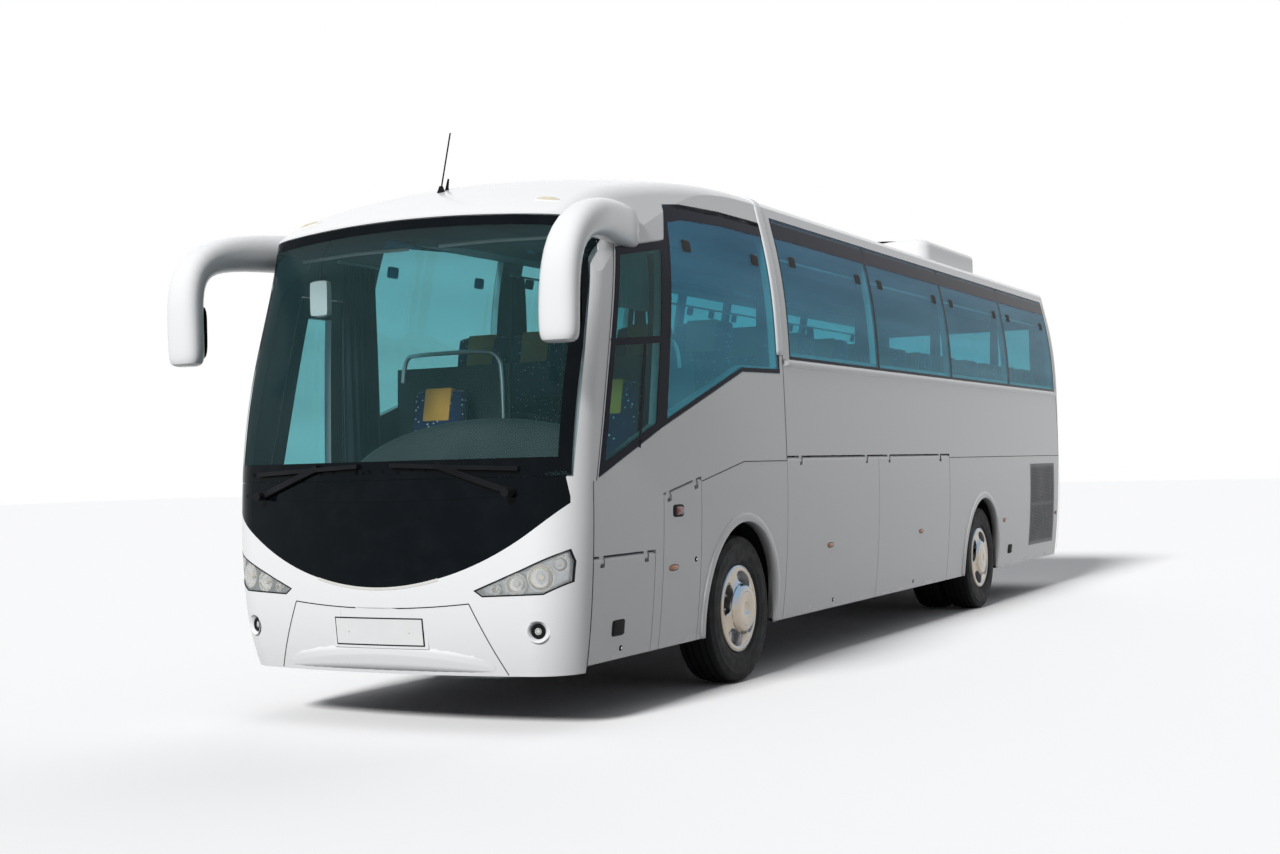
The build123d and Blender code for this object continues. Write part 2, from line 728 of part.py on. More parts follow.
for side, place in ((1, "left"), (-1, "right")):
    for end, axle, profile, planes in (("front", front_axle_x, FRONT_WHEEL, (wheel_plane,)),
                                       ("rear", rear_axle_x, REAR_WHEEL, (wheel_plane, inner_plane))):
        rim = spun(polygon([(radius, side * left) for radius, left in profile]), axle)
        name = "wheel" if end == "front" else "wheels"
        write(rim, place + "_" + end + "_" + name)
        tyres = [tyre(axle, side * plane) for plane in planes]
        write(grouped(tyres), place + "_" + end + "_" + ("tyre" if end == "front" else "tyres"))

# Front axle beam with kingpin eyes, air springs and jacking pads, and its steering knuckles
beam_foot = 425
beam_head = 515
beam_half = 48
kingpin_radius = 30
eye_radius = 55
rail_left = 375
rail_half = 40
rail_foot = 620
rail_head = 850
pad_left = 600
pad_radius = 45
pad_foot = 388
spring_radius = 70
front_axle_parts = [block((-beam_half, beam_half), (-kingpin_plane, kingpin_plane), (beam_foot, beam_head))]
for side in (1, -1):
    eye = (front_axle_x, side * kingpin_plane)
    front_axle_parts.append(rod((*eye, beam_foot), (*eye, beam_head), eye_radius))
    pad = (front_axle_x, side * pad_left)
    front_axle_parts.append(rod((*pad, pad_foot), (*pad, beam_foot + 10), pad_radius))
    spring = (front_axle_x, side * rail_left)
    front_axle_parts.append(rod((*spring, beam_foot + 10), (*spring, rail_foot - bond), spring_radius))
front_axle = joined(front_axle_parts)
for side in (1, -1):
    eye = (front_axle_x, side * kingpin_plane)
    front_axle = front_axle - rod((*eye, 0), (*eye, rail_head), kingpin_radius + running_gap)
write(front_axle, "front_axle")
ear_depth = 38
ear_slack = 1
for side, place in ((1, "left"), (-1, "right")):
    eye = (front_axle_x, side * kingpin_plane)
    low, high = beam_foot - ear_slack - ear_depth, beam_head + ear_slack + ear_depth
    web_near = kingpin_plane + eye_radius + 2 * hinge_gap
    knuckle = [rod((*eye, low), (*eye, high), kingpin_radius)]
    knuckle.append(block((-75, 75), (side * web_near, side * knuckle_face), (low, high + 60)))
    for foot, head in ((low, low + ear_depth), (high - ear_depth, high)):
        knuckle.append(rod((*eye, foot), (*eye, head), eye_radius))
        knuckle.append(block((-50, 50), (side * kingpin_plane, side * web_near), (foot, head)))
    stub = (front_axle_x, side * web_near, tyre_radius)
    knuckle.append(rod(stub, (front_axle_x, side * stub_end, tyre_radius), stub_radius))
    write(joined(knuckle), place + "_knuckle")

# Rear axle with its final drive, stub shafts, springs and jacking pads
tube_radius = 78
drive_radius = 215
drive_half = 150
rear_axle_parts = [
    rod((rear_axle_x, -rear_hub_face + hinge_gap, tyre_radius), (rear_axle_x, rear_hub_face - hinge_gap, tyre_radius), tube_radius),
    rod((rear_axle_x, 1 - wheel_plane, tyre_radius), (rear_axle_x, wheel_plane - 1, tyre_radius), stub_radius),
    rod((rear_axle_x, -drive_half, tyre_radius), (rear_axle_x, drive_half, tyre_radius), drive_radius - 60),
]
for side in (1, -1):
    for ahead in (-drive_radius, drive_radius):
        spring = (rear_axle_x + ahead, side * rail_left)
        rear_axle_parts.append(rod((*spring, tyre_radius - 30), (*spring, rail_foot - bond), spring_radius))
    saddle = (-wheelbase - drive_radius, -wheelbase + drive_radius)
    rear_axle_parts.append(block(saddle, (side * (rail_left - 50), side * (rail_left + 50)), (tyre_radius - 50, tyre_radius + 20)))
    pad = (rear_axle_x, side * rail_left)
    rear_axle_parts.append(rod((*pad, pad_foot), (*pad, tyre_radius), pad_radius))
write(joined(rear_axle_parts), "rear_axle")

# Chassis frame: rails ahead of the luggage bay and behind it, cross members and body mounts
floor_foot = floor_height - floor_thickness
cab_foot = cab_floor_height - floor_thickness
frame_parts = []
for side in (1, -1):
    inside, outside = side * (rail_left - rail_half), side * (rail_left + rail_half)
    for rear, front in ((bay_front + 2, 2480), (tail + 360, bay_rear - 2)):
        frame_parts.append(block((rear, front), (inside, outside), (rail_foot, rail_head)))
    for ahead, head in ((1000, cab_foot), (2000, cab_foot), (-700, floor_foot), (-5150, floor_foot), (-7250, floor_foot), (-9150, floor_foot)):
        frame_parts.append(block((ahead - 40, ahead + 40), (inside, outside), (rail_head - 10, head - bond)))
CROSS_MEMBERS = [2440, 800, -700, -5100, -7250, tail + 400]
for ahead in CROSS_MEMBERS:
    frame_parts.append(block((ahead - 35, ahead + 35), (-rail_left, rail_left), (rail_foot + 30, rail_head - 30)))
write(joined(frame_parts), "chassis_frame")

# Engine block between the rear rails, on four feet
engine_half = rail_left - rail_half - 15
engine_parts = [block((-9020, -7450), (-engine_half, engine_half), (480, 1330))]
for side in (1, -1):
    for ahead in (-8850, -7650):
        engine_parts.append(block((ahead - 60, ahead + 60), (side * (engine_half - 10), side * (rail_left + 20)),
                                  (rail_head + bond, rail_head + 40)))
write(joined(engine_parts), "engine")

# Wheel housings over all four wheels
housing_radius = 645
housing_wall = 15
housing_near = 520
housings = []
for axle in (front_axle_x, rear_axle_x):
    for side in (1, -1):
        with BuildPart() as drum:
            with BuildSketch(Plane.XZ.offset(-side * housing_near)):
                with Locations((axle, tyre_radius)):
                    Circle(housing_radius + housing_wall)
                    Circle(housing_radius, mode=Mode.SUBTRACT)
                with Locations((axle, tyre_radius - 80 - housing_radius)):
                    Rectangle(4 * housing_radius, 2 * housing_radius, mode=Mode.SUBTRACT)
            extrude(amount=-side * (half_width - housing_near))
        housings.append(drum.part & lining)
write(grouped(housings), "wheel_housings")

# Floor: saloon deck, cab deck, front steps and the middle door's stairwell
saloon_front = 740
well_rear = bay_rear + 10
well_front = mid_door_front + 10
stair_right = -1140
step_1, step_2, step_3 = step_height, 720, cab_floor_height
deck = lining & block((rear_cap_seam + 60, saloon_front), (-1400, 1400), (floor_foot, floor_height))
deck = deck - block((well_rear, well_front), (-1400, -500), (0, 2000))
deck = deck + (lining & block((saloon_front - 60, 2300), (-560, 1400), (cab_foot, cab_floor_height)))
deck = deck + (lining & block((saloon_front - 60, saloon_front), (-560, 1400), (cab_foot, floor_height)))
front_steps = polygon([(stair_right, 400), (-500, 400), (-500, step_3), (-600, step_3), (-600, step_2), (-850, step_2),
                       (-850, step_1), (stair_right, step_1)])
deck = deck + through(front_steps, 1290, 900)
deck = deck + block((saloon_front - 20, 960), (-560, -150), (cab_foot, 1225))
deck = deck + block((saloon_front - 60, 1330), (-1130, -520), (cab_foot, cab_floor_height))
deck = deck + block((saloon_front - 60, saloon_front), (-1130, -520), (cab_foot, floor_height))
middle_steps = polygon([(stair_right, 400), (-460, 400), (-460, floor_height), (-500, floor_height), (-500, 1112),
                        (-700, 1112), (-700, 780), (-900, 780), (-900, step_1), (stair_right, step_1)])
deck = deck + through(middle_steps, well_rear, well_front - well_rear)
write(deck, "saloon_floor")

# Luggage bay under the saloon
bay_half = 1132
bay_floor = 400
bay_plate = 40
bay = block((bay_rear + 6, bay_front - 6), (-bay_half, bay_half), (bay_floor, floor_foot - bond))
bay = bay - block((bay_rear + 6 + bay_plate, bay_front - 6 - bay_plate), (-1400, 1400), (bay_floor + bay_plate, floor_height))
bay = bay - block((well_rear - 20, well_front + 2), (-1400, -456), (0, 2000))
write(bay, "luggage_bay")

# Driver's place
dash = [(1790, cab_floor_height + bond), (2400, cab_floor_height + bond), (2440, 1400), (2330, 1500), (2010, 1480), (1880, 1340)]
with BuildPart() as dash_body:
    with BuildSketch(Plane.XZ.offset(-1250)):
        with BuildLine():
            Polyline(*[(front_axle_x + ahead, height) for ahead, height in dash], close=True)
        make_face()
    extrude(amount=1250 + 480)
driver_left = 640
binnacle = block((1950, 2260), (driver_left - 330, driver_left + 330), (1400, 1600))
dashboard = (dash_body.part + binnacle) & lining
write(dashboard, "dashboard")
hub = (front_axle_x + 1730, driver_left, 1680)
column_foot = (front_axle_x + 1960, driver_left, 1380)
wheel_axis = Vector(*hub) - Vector(*column_foot)
ring_radius = 225
grip_radius = 16
with BuildPart() as ring:
    with Locations(Plane(hub, z_dir=wheel_axis).location):
        Torus(ring_radius, grip_radius)
        for turn in (0, 120, 240):
            with Locations(Rotation(0, 0, turn)):
                with Locations((ring_radius / 2, 0, 0)):
                    Box(ring_radius, 34, 14)
        Cylinder(60, 40)
steering = ring.part + rod(column_foot, hub, 30)
write(steering - dashboard, "steering_wheel")


def seat(ahead, left, width, floor, split=True):
    """Seat on its pedestal: cushion, reclined back and head rest over the full width."""
    side_view = [(-230, floor + 370), (230, floor + 390), (240, floor + 490), (-160, floor + 480), (-300, floor + 1130),
                 (-400, floor + 1130), (-290, floor + 400)]
    with BuildPart() as body:
        with BuildSketch(Plane.XZ.offset(-left - width / 2)):
            with BuildLine():
                Polyline(*[(front_axle_x + ahead + x, height) for x, height in side_view], close=True)
            make_face()
        extrude(amount=width)
    piece = body.part
    if split:
        piece = piece - block((ahead - 500, ahead - 165), (left - 9, left + 9), (floor + 470, floor + 1200))
    piece = piece + block((ahead - 180, ahead + 170), (left - width / 4, left + width / 4), (floor + bond, floor + 380))
    return piece


write(seat(1130, driver_left, 500, cab_floor_height, False), "driver_seat")
first_row = 220
seat_left = aisle_half + seat_width / 2
seats = []
for row in range(seat_rows):
    ahead = first_row - row * seat_pitch
    for side in (1, -1):
        over_well = side < 0 and well_rear - 260 < ahead < well_front + 420
        if not over_well:
            seats.append(seat(ahead, side * seat_left, seat_width, floor_height))
write(grouped(seats), "saloon_seats")

# Luggage racks, partitions
rack = [(640, 3170), (1200, 3240), (1200, 3290), (640, 3230)]
racks = []
for side in (1, -1):
    racks.append(lining & through(polygon([(side * left, height) for left, height in rack]), rear_cap_seam + 100, 9900))
write(grouped(racks), "luggage_racks")
partition_ahead = 660
partitions = []
for side in (1, -1):
    partitions.append(lining & block((partition_ahead, partition_ahead + 28), (side * (aisle_half + 20), side * 1400),
                                     (floor_height + bond, 2300)))
write(grouped(partitions), "partitions")

# Roof units and aerial
with BuildPart() as unit:
    with Locations((front_axle_x - 6350, 0, 3560)):
        Box(1800, 1900, 440)
    fillet(unit.edges().filter_by(Axis.Z), 160)
    fillet(unit.faces().sort_by(Axis.Z)[-1].edges(), 70)
write(unit.part - skin, "air_conditioner")
with BuildPart() as hatches:
    for ahead in (-2250, -8620):
        with Locations((front_axle_x + ahead, 0, 3590)):
            Box(760, 720, 220)
    fillet(hatches.edges().filter_by(Axis.Z), 80)
    fillet(hatches.faces().sort_by(Axis.Z)[-2:].edges(), 25)
write(hatches.part - skin, "roof_hatches")
aerial_foot = (front_axle_x + 1857, 0, 3320)
aerial_base = (front_axle_x + 1857, 0, 3365)
aerial_tip = (front_axle_x + 1737, 0, 3750)
with BuildPart() as aerial_cone:
    with Locations((front_axle_x + 1857, 0, 3355)):
        Cone(34, 12, 60)
aerial = (aerial_cone.part + rod(aerial_base, aerial_tip, 5)) - skin
write(aerial, "aerial")

# Mirrors on their arms
mirror_half = 85
mirror_ahead = front_overhang + mirror_reach - mirror_half
mirror_left = 1365
mirrors = []
for side in (1, -1):
    with BuildPart() as head:
        with Locations((front_axle_x + mirror_ahead, side * mirror_left, 2495)):
            Box(2 * mirror_half, 250, 510)
        fillet(head.edges().filter_by(Axis.Z), 60)
        fillet(head.faces().sort_by(Axis.Z)[0].edges(), 45)
        fillet(head.faces().sort_by(Axis.Z)[-1].edges(), 45)
    ARM = [(1560, 1130, 3040), (2080, 1330, 3000), (2600, 1440, 2860), (2735, 1380, 2690)]
    with BuildPart() as arm:
        with BuildLine() as path:
            FilletPolyline(*[(front_axle_x + ahead, side * left, height) for ahead, left, height in ARM], radius=180)
        with BuildSketch(Plane(path.wires()[0] @ 0, z_dir=path.wires()[0] % 0)):
            Circle(40)
        sweep()
    mirrors.append((head.part + arm.part) - skin)
write(grouped(mirrors), "mirrors")

# Wipers parked along the foot of the windscreen
BLADE = [(120, 1596), (960, 1560), (960, 1534), (120, 1570)]
ARM_STRIP = [(900, 1400), (440, 1560), (440, 1596), (930, 1426)]
wipers = []
for side in (1, -1):
    strips = [trim_layer & through(polygon([(side * left, height) for left, height in strip]), nose_start, nose_depth)
              for strip in (BLADE, ARM_STRIP)]
    spindle = rod((front_axle_x + 2450, side * 912, 1412), (front_axle_x + 2640, side * 912, 1412), 26) - skin
    wipers.append(joined(strips + [spindle]))
write(grouped(wipers), "wipers")
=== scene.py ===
import json
from math import atan2, cos, pi, radians, sin, sqrt

import bmesh
import bpy
from mathutils import Matrix, Vector
from mathutils.bvhtree import BVHTree


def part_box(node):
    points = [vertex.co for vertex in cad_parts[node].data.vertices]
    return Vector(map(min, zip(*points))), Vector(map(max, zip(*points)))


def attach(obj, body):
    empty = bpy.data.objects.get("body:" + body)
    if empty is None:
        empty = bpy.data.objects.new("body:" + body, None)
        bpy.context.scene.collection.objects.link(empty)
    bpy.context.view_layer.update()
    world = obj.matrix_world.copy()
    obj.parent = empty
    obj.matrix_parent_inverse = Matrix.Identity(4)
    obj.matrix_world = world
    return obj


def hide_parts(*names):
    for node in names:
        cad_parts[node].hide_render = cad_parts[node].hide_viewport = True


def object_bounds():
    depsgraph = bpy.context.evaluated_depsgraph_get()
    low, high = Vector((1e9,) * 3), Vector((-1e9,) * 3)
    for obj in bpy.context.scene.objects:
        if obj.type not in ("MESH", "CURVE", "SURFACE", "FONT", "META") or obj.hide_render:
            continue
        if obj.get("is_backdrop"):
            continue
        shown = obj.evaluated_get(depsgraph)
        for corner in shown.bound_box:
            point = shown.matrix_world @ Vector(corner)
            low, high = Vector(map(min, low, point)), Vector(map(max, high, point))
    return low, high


# Looks of the coach bus. Metres, +X forward, +Y left, +Z up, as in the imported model.
# Places along the body are written as distances ahead of the front axle, as in the part's source.

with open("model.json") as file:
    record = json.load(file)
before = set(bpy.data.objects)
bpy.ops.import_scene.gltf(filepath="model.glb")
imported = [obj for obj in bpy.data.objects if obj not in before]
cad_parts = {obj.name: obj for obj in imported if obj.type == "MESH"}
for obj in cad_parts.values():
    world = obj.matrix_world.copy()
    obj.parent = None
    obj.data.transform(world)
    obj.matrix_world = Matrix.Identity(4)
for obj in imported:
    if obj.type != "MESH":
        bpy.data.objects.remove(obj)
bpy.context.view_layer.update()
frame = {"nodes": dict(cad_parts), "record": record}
nodes = frame["nodes"]
scene = bpy.context.scene
scene.view_settings.view_transform = "Standard"

AXLE = 3.430
REAR_AXLE = -6.155
HUB = 0.522
BELT = 1.560
SKIRT = 0.372
SIDES = ((1, "left"), (-1, "right"))
FORWARD = (1, 0, 0)


class Field:
    """A socket of a node tree. Operators on it add Math nodes, and node() adds any other node."""

    def __init__(self, socket):
        self.socket = socket

    def node(self, kind, settings=None, values=None, output=0):
        tree = self.socket.id_data
        made = tree.nodes.new(kind)
        for key, value in (settings or {}).items():
            if key == "stops":
                for element, (place, colour) in zip(made.color_ramp.elements, value):
                    element.position = place
                    element.color = colour
            else:
                setattr(made, key, value)
        for key, value in (values or {}).items():
            if isinstance(value, Field):
                tree.links.new(value.socket, made.inputs[key])
            else:
                made.inputs[key].default_value = value
        return Field(made.outputs[output])

    def math(self, operation, *terms):
        return self.node("ShaderNodeMath", {"operation": operation}, dict(enumerate(terms)))

    def __add__(self, other):
        return self.math("ADD", self, other)

    def __radd__(self, other):
        return self.math("ADD", other, self)

    def __sub__(self, other):
        return self.math("SUBTRACT", self, other)

    def __rsub__(self, other):
        return self.math("SUBTRACT", other, self)

    def __mul__(self, other):
        return self.math("MULTIPLY", self, other)

    def __rmul__(self, other):
        return self.math("MULTIPLY", other, self)

    def __truediv__(self, other):
        return self.math("DIVIDE", self, other)

    def above(self, limit):
        return self.math("GREATER_THAN", self, limit)

    def below(self, limit):
        return self.math("LESS_THAN", self, limit)

    def sine(self):
        return self.math("SINE", self)

    def ramp(self, low, high):
        """0 below low, 1 above high, straight in between."""
        return self.node("ShaderNodeMapRange", {}, {0: self, 1: low, 2: high, 3: 0.0, 4: 1.0})

    def mix(self, low, high):
        """Colour between low and high by this share."""
        return self.node("ShaderNodeMix", {"data_type": "RGBA"}, {0: self, 6: low, 7: high}, 2)

    def noise(self, scale, detail=2.0, stretch=(1, 1, 1)):
        """Soft noise from 0 to 1 over these coordinates."""
        place = self.node("ShaderNodeMapping", {}, {0: self, 3: stretch})
        return place.node("ShaderNodeTexNoise", {}, {"Vector": place, "Scale": scale, "Detail": detail})

    def seen(self):
        """1 for rays that show a surface to the camera, in metal or through glass, 0 for those that light it."""
        kinds = [self.node("ShaderNodeLightPath", {}, {}, f"Is {kind} Ray")
                 for kind in ("Camera", "Glossy", "Transmission")]
        return self.math("MAXIMUM", kinds[0], self.math("MAXIMUM", *kinds[1:]))

    def axes(self):
        """The three parts of this vector."""
        first = self.node("ShaderNodeSeparateXYZ", {}, {0: self})
        return [Field(socket) for socket in first.socket.node.outputs]


def finish(name, build, film=None, **constants):
    """Material whose Principled shader takes constants directly and fields from build(place).

    With film, a colour, the share of the surface that build calls See shows what is behind it in that colour.
    """
    material = bpy.data.materials.new(name)
    material.use_nodes = True
    tree = material.node_tree
    shader = tree.nodes["Principled BSDF"]
    for key, value in constants.items():
        shader.inputs[key.replace("_", " ")].default_value = value
    place = Field(tree.nodes.new("ShaderNodeTexCoord").outputs["Object"])
    fields = build(place)
    if film:
        clear = fields["See"].node("ShaderNodeBsdfTransparent", {}, {"Color": rgb(*film)})
        body = Field(shader.outputs[0])
        pane = body.node("ShaderNodeMixShader", {}, {0: fields.pop("See"), 1: body, 2: clear})
        tree.links.new(pane.socket, tree.nodes["Material Output"].inputs["Surface"])
    for key, value in fields.items():
        tree.links.new(value.socket, shader.inputs[key])
    return material


def bump(height, strength, distance):
    """Normal from a height field."""
    return height.node("ShaderNodeBump", {}, {"Height": height, "Strength": strength, "Distance": distance})


def rgb(red, green, blue):
    return (red, green, blue, 1.0)


def white_paint(lined):
    """Body paint: thin road film low down and a fine ripple; lined is for panels with grey lining inside."""

    def build(place):
        z = place.axes()[2]
        grime = place.noise(1.6, 4.0, (1, 1, 2.5))
        film = (1 - z.ramp(0.3, 1.1)) * (0.08 + grime * 0.08)
        colour = film.mix(rgb(0.80, 0.81, 0.82), rgb(0.50, 0.47, 0.42))
        rough = 0.22 + film * 0.5
        if lined:
            normal = place.node("ShaderNodeNewGeometry", {}, {}, "Normal")
            out = place.node("ShaderNodeVectorMath", {"operation": "SUBTRACT"}, {0: place, 1: (0, 0, 2.0)})
            facing = out.node("ShaderNodeVectorMath", {"operation": "DOT_PRODUCT"}, {0: normal, 1: out}, "Value")
            inward = facing.below(0.0)
            colour = inward.mix(colour, rgb(0.16, 0.17, 0.19))
            rough = rough + inward * 0.4
        ripple = place.noise(42.0, 1.0)
        return {"Base Color": colour, "Roughness": rough, "Normal": bump(ripple, 0.035, 0.002)}

    return build


def black_gloss(place):
    """Polished black panels with faint dust and swirl marks."""
    dust = place.noise(7.0, 5.0)
    colour = (dust.ramp(0.45, 0.8) * 0.35).mix(rgb(0.002, 0.004, 0.006), rgb(0.010, 0.013, 0.016))
    swirl = place.noise(160.0, 2.0, (1, 1, 6))
    return {"Base Color": colour, "Roughness": 0.035 + swirl * 0.04,
            "Normal": bump(place.noise(5.0), 0.012, 0.004)}


def grained(dark, light, scale=260.0, depth=0.0006, rough=0.55):
    """Moulded plastic with a leather-like grain."""

    def build(place):
        cells = place.node("ShaderNodeTexVoronoi", {}, {"Vector": place, "Scale": scale})
        patch = place.noise(3.0, 4.0)
        return {"Base Color": patch.ramp(0.3, 0.7).mix(rgb(*dark), rgb(*light)),
                "Roughness": rough + cells * 0.15, "Normal": bump(cells, 0.5, depth)}

    return build


def tinted_glass(place):
    """Blue-green film glass whose colour holds a painted sky reflection, deeper blue towards the roof, with
    painted cloud reflections as faint streaks; plain dark glass beside the driver.
    """
    x, y, z = place.axes()
    # Painted sky reflection: the base colour runs from teal low down to deep blue towards the roof.
    height = z.ramp(1.6, 3.35)
    # Painted cloud reflections: faint streaks stretched along the body that lighten the base colour.
    cloud_reflection_streak = place.noise(1.3, 5.0, (0.3, 1, 3.2)).ramp(0.3, 0.7)
    low = cloud_reflection_streak.mix(rgb(0.05, 0.29, 0.39), rgb(0.11, 0.38, 0.48))
    high = cloud_reflection_streak.mix(rgb(0.010, 0.12, 0.27), rgb(0.035, 0.19, 0.36))
    cab = (x + z * 0.2135).above(AXLE + 1.675) * y.above(0.0)
    colour = cab.mix(height.mix(low, high), rgb(0.012, 0.04, 0.042))
    return {"Base Color": colour, "See": 0.78 - height * 0.08 - cloud_reflection_streak * 0.06}


def clear_glass(place):
    """Windscreen: clear with a green cast, a shaded head and faint wiper haze."""
    shade = place.axes()[2].ramp(2.80, 3.08)
    haze = place.noise(2.4, 4.0, (1, 0.6, 1.6))
    return {"Base Color": shade.mix(rgb(0.05, 0.14, 0.15), rgb(0.004, 0.012, 0.016)),
            "See": 0.94 - haze * 0.05 - shade * 0.25}


def lens(colour, alpha, ribs):
    """Moulded lamp lens with upright prisms."""

    def build(place):
        x, y = place.axes()[:2]
        prism = (y * ribs).sine() * 0.5 + (x * ribs).sine() * 0.5
        tone = place.noise(30.0)
        return {"Base Color": tone.mix(rgb(*colour), rgb(*[c * 0.7 for c in colour])),
                "Alpha": alpha + tone * 0.08, "Roughness": 0.05 + tone * 0.05, "Normal": bump(prism, 0.25, 0.002)}

    return build


def printed_band(place):
    """Navy black print round the window glass."""
    tone = place.noise(4.0, 3.0)
    return {"Base Color": tone.mix(rgb(0.006, 0.009, 0.026), rgb(0.010, 0.013, 0.034)),
            "Roughness": 0.10 + tone * 0.06}


def cover_metal(place):
    """Polished wheel cover with a painted reflection: warm ground tones where it faces sideways and cool sky blue
    where it faces up.
    """
    normal = place.node("ShaderNodeNewGeometry", {}, {}, "Normal")
    # Painted reflection: warm ground tones on faces that look sideways, cool sky blue on faces that look up; the
    # noise varies the painted ground tones.
    film = place.noise(7.0, 3.0)
    painted_ground_reflection = film.mix(rgb(0.36, 0.31, 0.25), rgb(0.46, 0.40, 0.33))
    colour = normal.axes()[2].ramp(0.02, 0.55).mix(painted_ground_reflection, rgb(0.24, 0.35, 0.48))
    scratch = place.noise(180.0, 3.0, (1, 6, 1))
    return {"Base Color": colour, "Roughness": 0.06 + scratch * 0.07, "Normal": bump(scratch, 0.02, 0.0004)}


def bright_metal(place):
    """Polished wheel and lamp metal with fine scratches and a warm film."""
    scratch = place.noise(220.0, 3.0, (1, 8, 1))
    film = place.noise(6.0, 3.0)
    return {"Base Color": film.mix(rgb(0.86, 0.85, 0.82), rgb(0.70, 0.68, 0.62)),
            "Roughness": 0.07 + scratch * 0.1, "Normal": bump(scratch, 0.03, 0.0005)}


def brushed_steel(place):
    """Bare steel tube with long brush marks."""
    lines = place.noise(90.0, 3.0, (1, 1, 0.05))
    return {"Base Color": lines.mix(rgb(0.50, 0.51, 0.53), rgb(0.66, 0.67, 0.69)),
            "Roughness": 0.28 + lines * 0.15, "Normal": bump(lines, 0.08, 0.0005)}


def chassis_paint(place):
    """Satin black underbody paint with dry road dust."""
    dust = place.noise(4.0, 6.0).ramp(0.4, 0.72)
    chips = place.noise(55.0, 4.0)
    return {"Base Color": (dust * 0.55).mix(rgb(0.022, 0.023, 0.026), rgb(0.16, 0.145, 0.125)),
            "Roughness": 0.5 + dust * 0.3, "Normal": bump(chips, 0.2, 0.002)}


def cast_iron(place):
    """Grey engine paint over a sand-cast skin."""
    sand = place.noise(120.0, 4.0)
    oil = place.noise(2.5, 5.0).ramp(0.5, 0.75)
    return {"Base Color": oil.mix(rgb(0.19, 0.20, 0.21), rgb(0.05, 0.045, 0.04)),
            "Roughness": 0.62 - oil * 0.2, "Normal": bump(sand, 0.4, 0.002)}


def tyre_rubber(axle):
    """Tyre rubber with sipes across the tread, painted shade in the sipes, and dust in the shoulders."""

    def build(place):
        x, y, z = place.axes()
        along, up = x - (AXLE + axle), z - HUB
        turn = up.math("ARCTAN2", up, along)
        square = along * along + up * up
        radius = square.math("SQRT", square)
        sipe_groove_and_shade = (turn * 70.0 + y * 60.0).sine().above(0.9) * radius.above(0.506)
        dust = place.noise(14.0, 5.0).ramp(0.4, 0.8)
        base = (dust * 0.5).mix(rgb(0.005, 0.006, 0.007), rgb(0.018, 0.018, 0.017))
        fine = place.noise(300.0) * 0.4 + (radius * 900.0).sine() * 0.12 - sipe_groove_and_shade
        # Painted shade: the sipe slits are coloured darker than the rubber around them.
        return {"Base Color": sipe_groove_and_shade.mix(base, rgb(0.004, 0.004, 0.004)),
                "Roughness": 0.62 + dust * 0.25, "Normal": bump(fine, 0.35, 0.0015)}

    return build


def seat_cloth(place):
    """Navy moquette: small pale and light blue dots on a short pile."""
    dots = {"Vector": place, "Scale": 24.0, "Randomness": 0.75}
    dot = place.node("ShaderNodeTexVoronoi", {}, dots).below(0.17)
    tint = place.node("ShaderNodeTexVoronoi", {}, dots, "Color")
    pile = place.noise(420.0, 2.0)
    ground = pile.mix(rgb(0.006, 0.012, 0.042), rgb(0.016, 0.03, 0.085))
    share = tint.node("ShaderNodeSeparateColor", {}, {0: tint})
    spot = share.mix(rgb(0.25, 0.42, 0.62), rgb(0.62, 0.62, 0.55))
    return {"Base Color": dot.mix(ground, spot), "Roughness": 0.82 + pile * 0.12,
            "Normal": bump(pile, 0.6, 0.002)}


def cover_leather(place):
    """Ochre head rest covers with a soft grain and darker creases."""
    cells = place.node("ShaderNodeTexVoronoi", {}, {"Vector": place, "Scale": 180.0})
    age = place.noise(6.0, 4.0)
    return {"Base Color": age.mix(rgb(0.52, 0.25, 0.04), rgb(0.72, 0.40, 0.09)),
            "Roughness": 0.42 + cells * 0.2, "Normal": bump(cells, 0.4, 0.0008)}


def curtain_cloth(place):
    """Dark curtain weave."""
    weave = (place.axes()[2] * 900.0).sine() * 0.4 + place.noise(260.0) * 0.6
    tone = place.noise(9.0, 3.0)
    return {"Base Color": tone.mix(rgb(0.010, 0.014, 0.022), rgb(0.028, 0.034, 0.046)),
            "Roughness": 0.85 + tone * 0.1, "Normal": bump(weave, 0.3, 0.0006)}


def blind_cloth(place):
    """White pleated blind with a faint weave."""
    x, _, z = place.axes()
    weave = (x * 1000.0).sine() * 0.5 + (z * 1000.0).sine() * 0.5
    tone = place.noise(5.0)
    return {"Base Color": tone.mix(rgb(0.66, 0.68, 0.68), rgb(0.78, 0.79, 0.78)),
            "Roughness": 0.8 + tone * 0.1, "Normal": bump(weave, 0.2, 0.0004)}


def flecked_floor(place):
    """Grey floor covering with light and dark flecks."""
    fleck = place.noise(140.0, 1.0)
    worn = place.noise(2.0, 4.0)
    base = fleck.ramp(0.35, 0.7).mix(rgb(0.09, 0.095, 0.105), rgb(0.22, 0.225, 0.235))
    return {"Base Color": base, "Roughness": 0.6 + worn * 0.25, "Normal": bump(fleck, 0.2, 0.0008)}


def mirror_face(place):
    """Silvered mirror glass with a trace of haze."""
    haze = place.noise(12.0, 3.0)
    return {"Base Color": haze.mix(rgb(0.80, 0.83, 0.85), rgb(0.72, 0.76, 0.79)),
            "Roughness": 0.015 + haze * 0.04}


def plate_white(place):
    """Blank number plate with a beaded reflective skin."""
    beads = place.node("ShaderNodeTexVoronoi", {}, {"Vector": place, "Scale": 900.0})
    tone = place.noise(8.0)
    return {"Base Color": tone.mix(rgb(0.70, 0.71, 0.71), rgb(0.77, 0.78, 0.78)),
            "Roughness": 0.3 + beads * 0.2, "Normal": bump(beads, 0.15, 0.0004)}


def floor_white(place):
    """Pale studio floor, white where the camera, metal or glass shows it unshaded."""
    tone = place.noise(0.4, 3.0)
    pale = tone.mix(rgb(0.23, 0.23, 0.23), rgb(0.25, 0.25, 0.25))
    return {"Base Color": place.seen().mix(pale, rgb(1.1, 1.1, 1.1)), "Roughness": 0.85 + tone * 0.05}


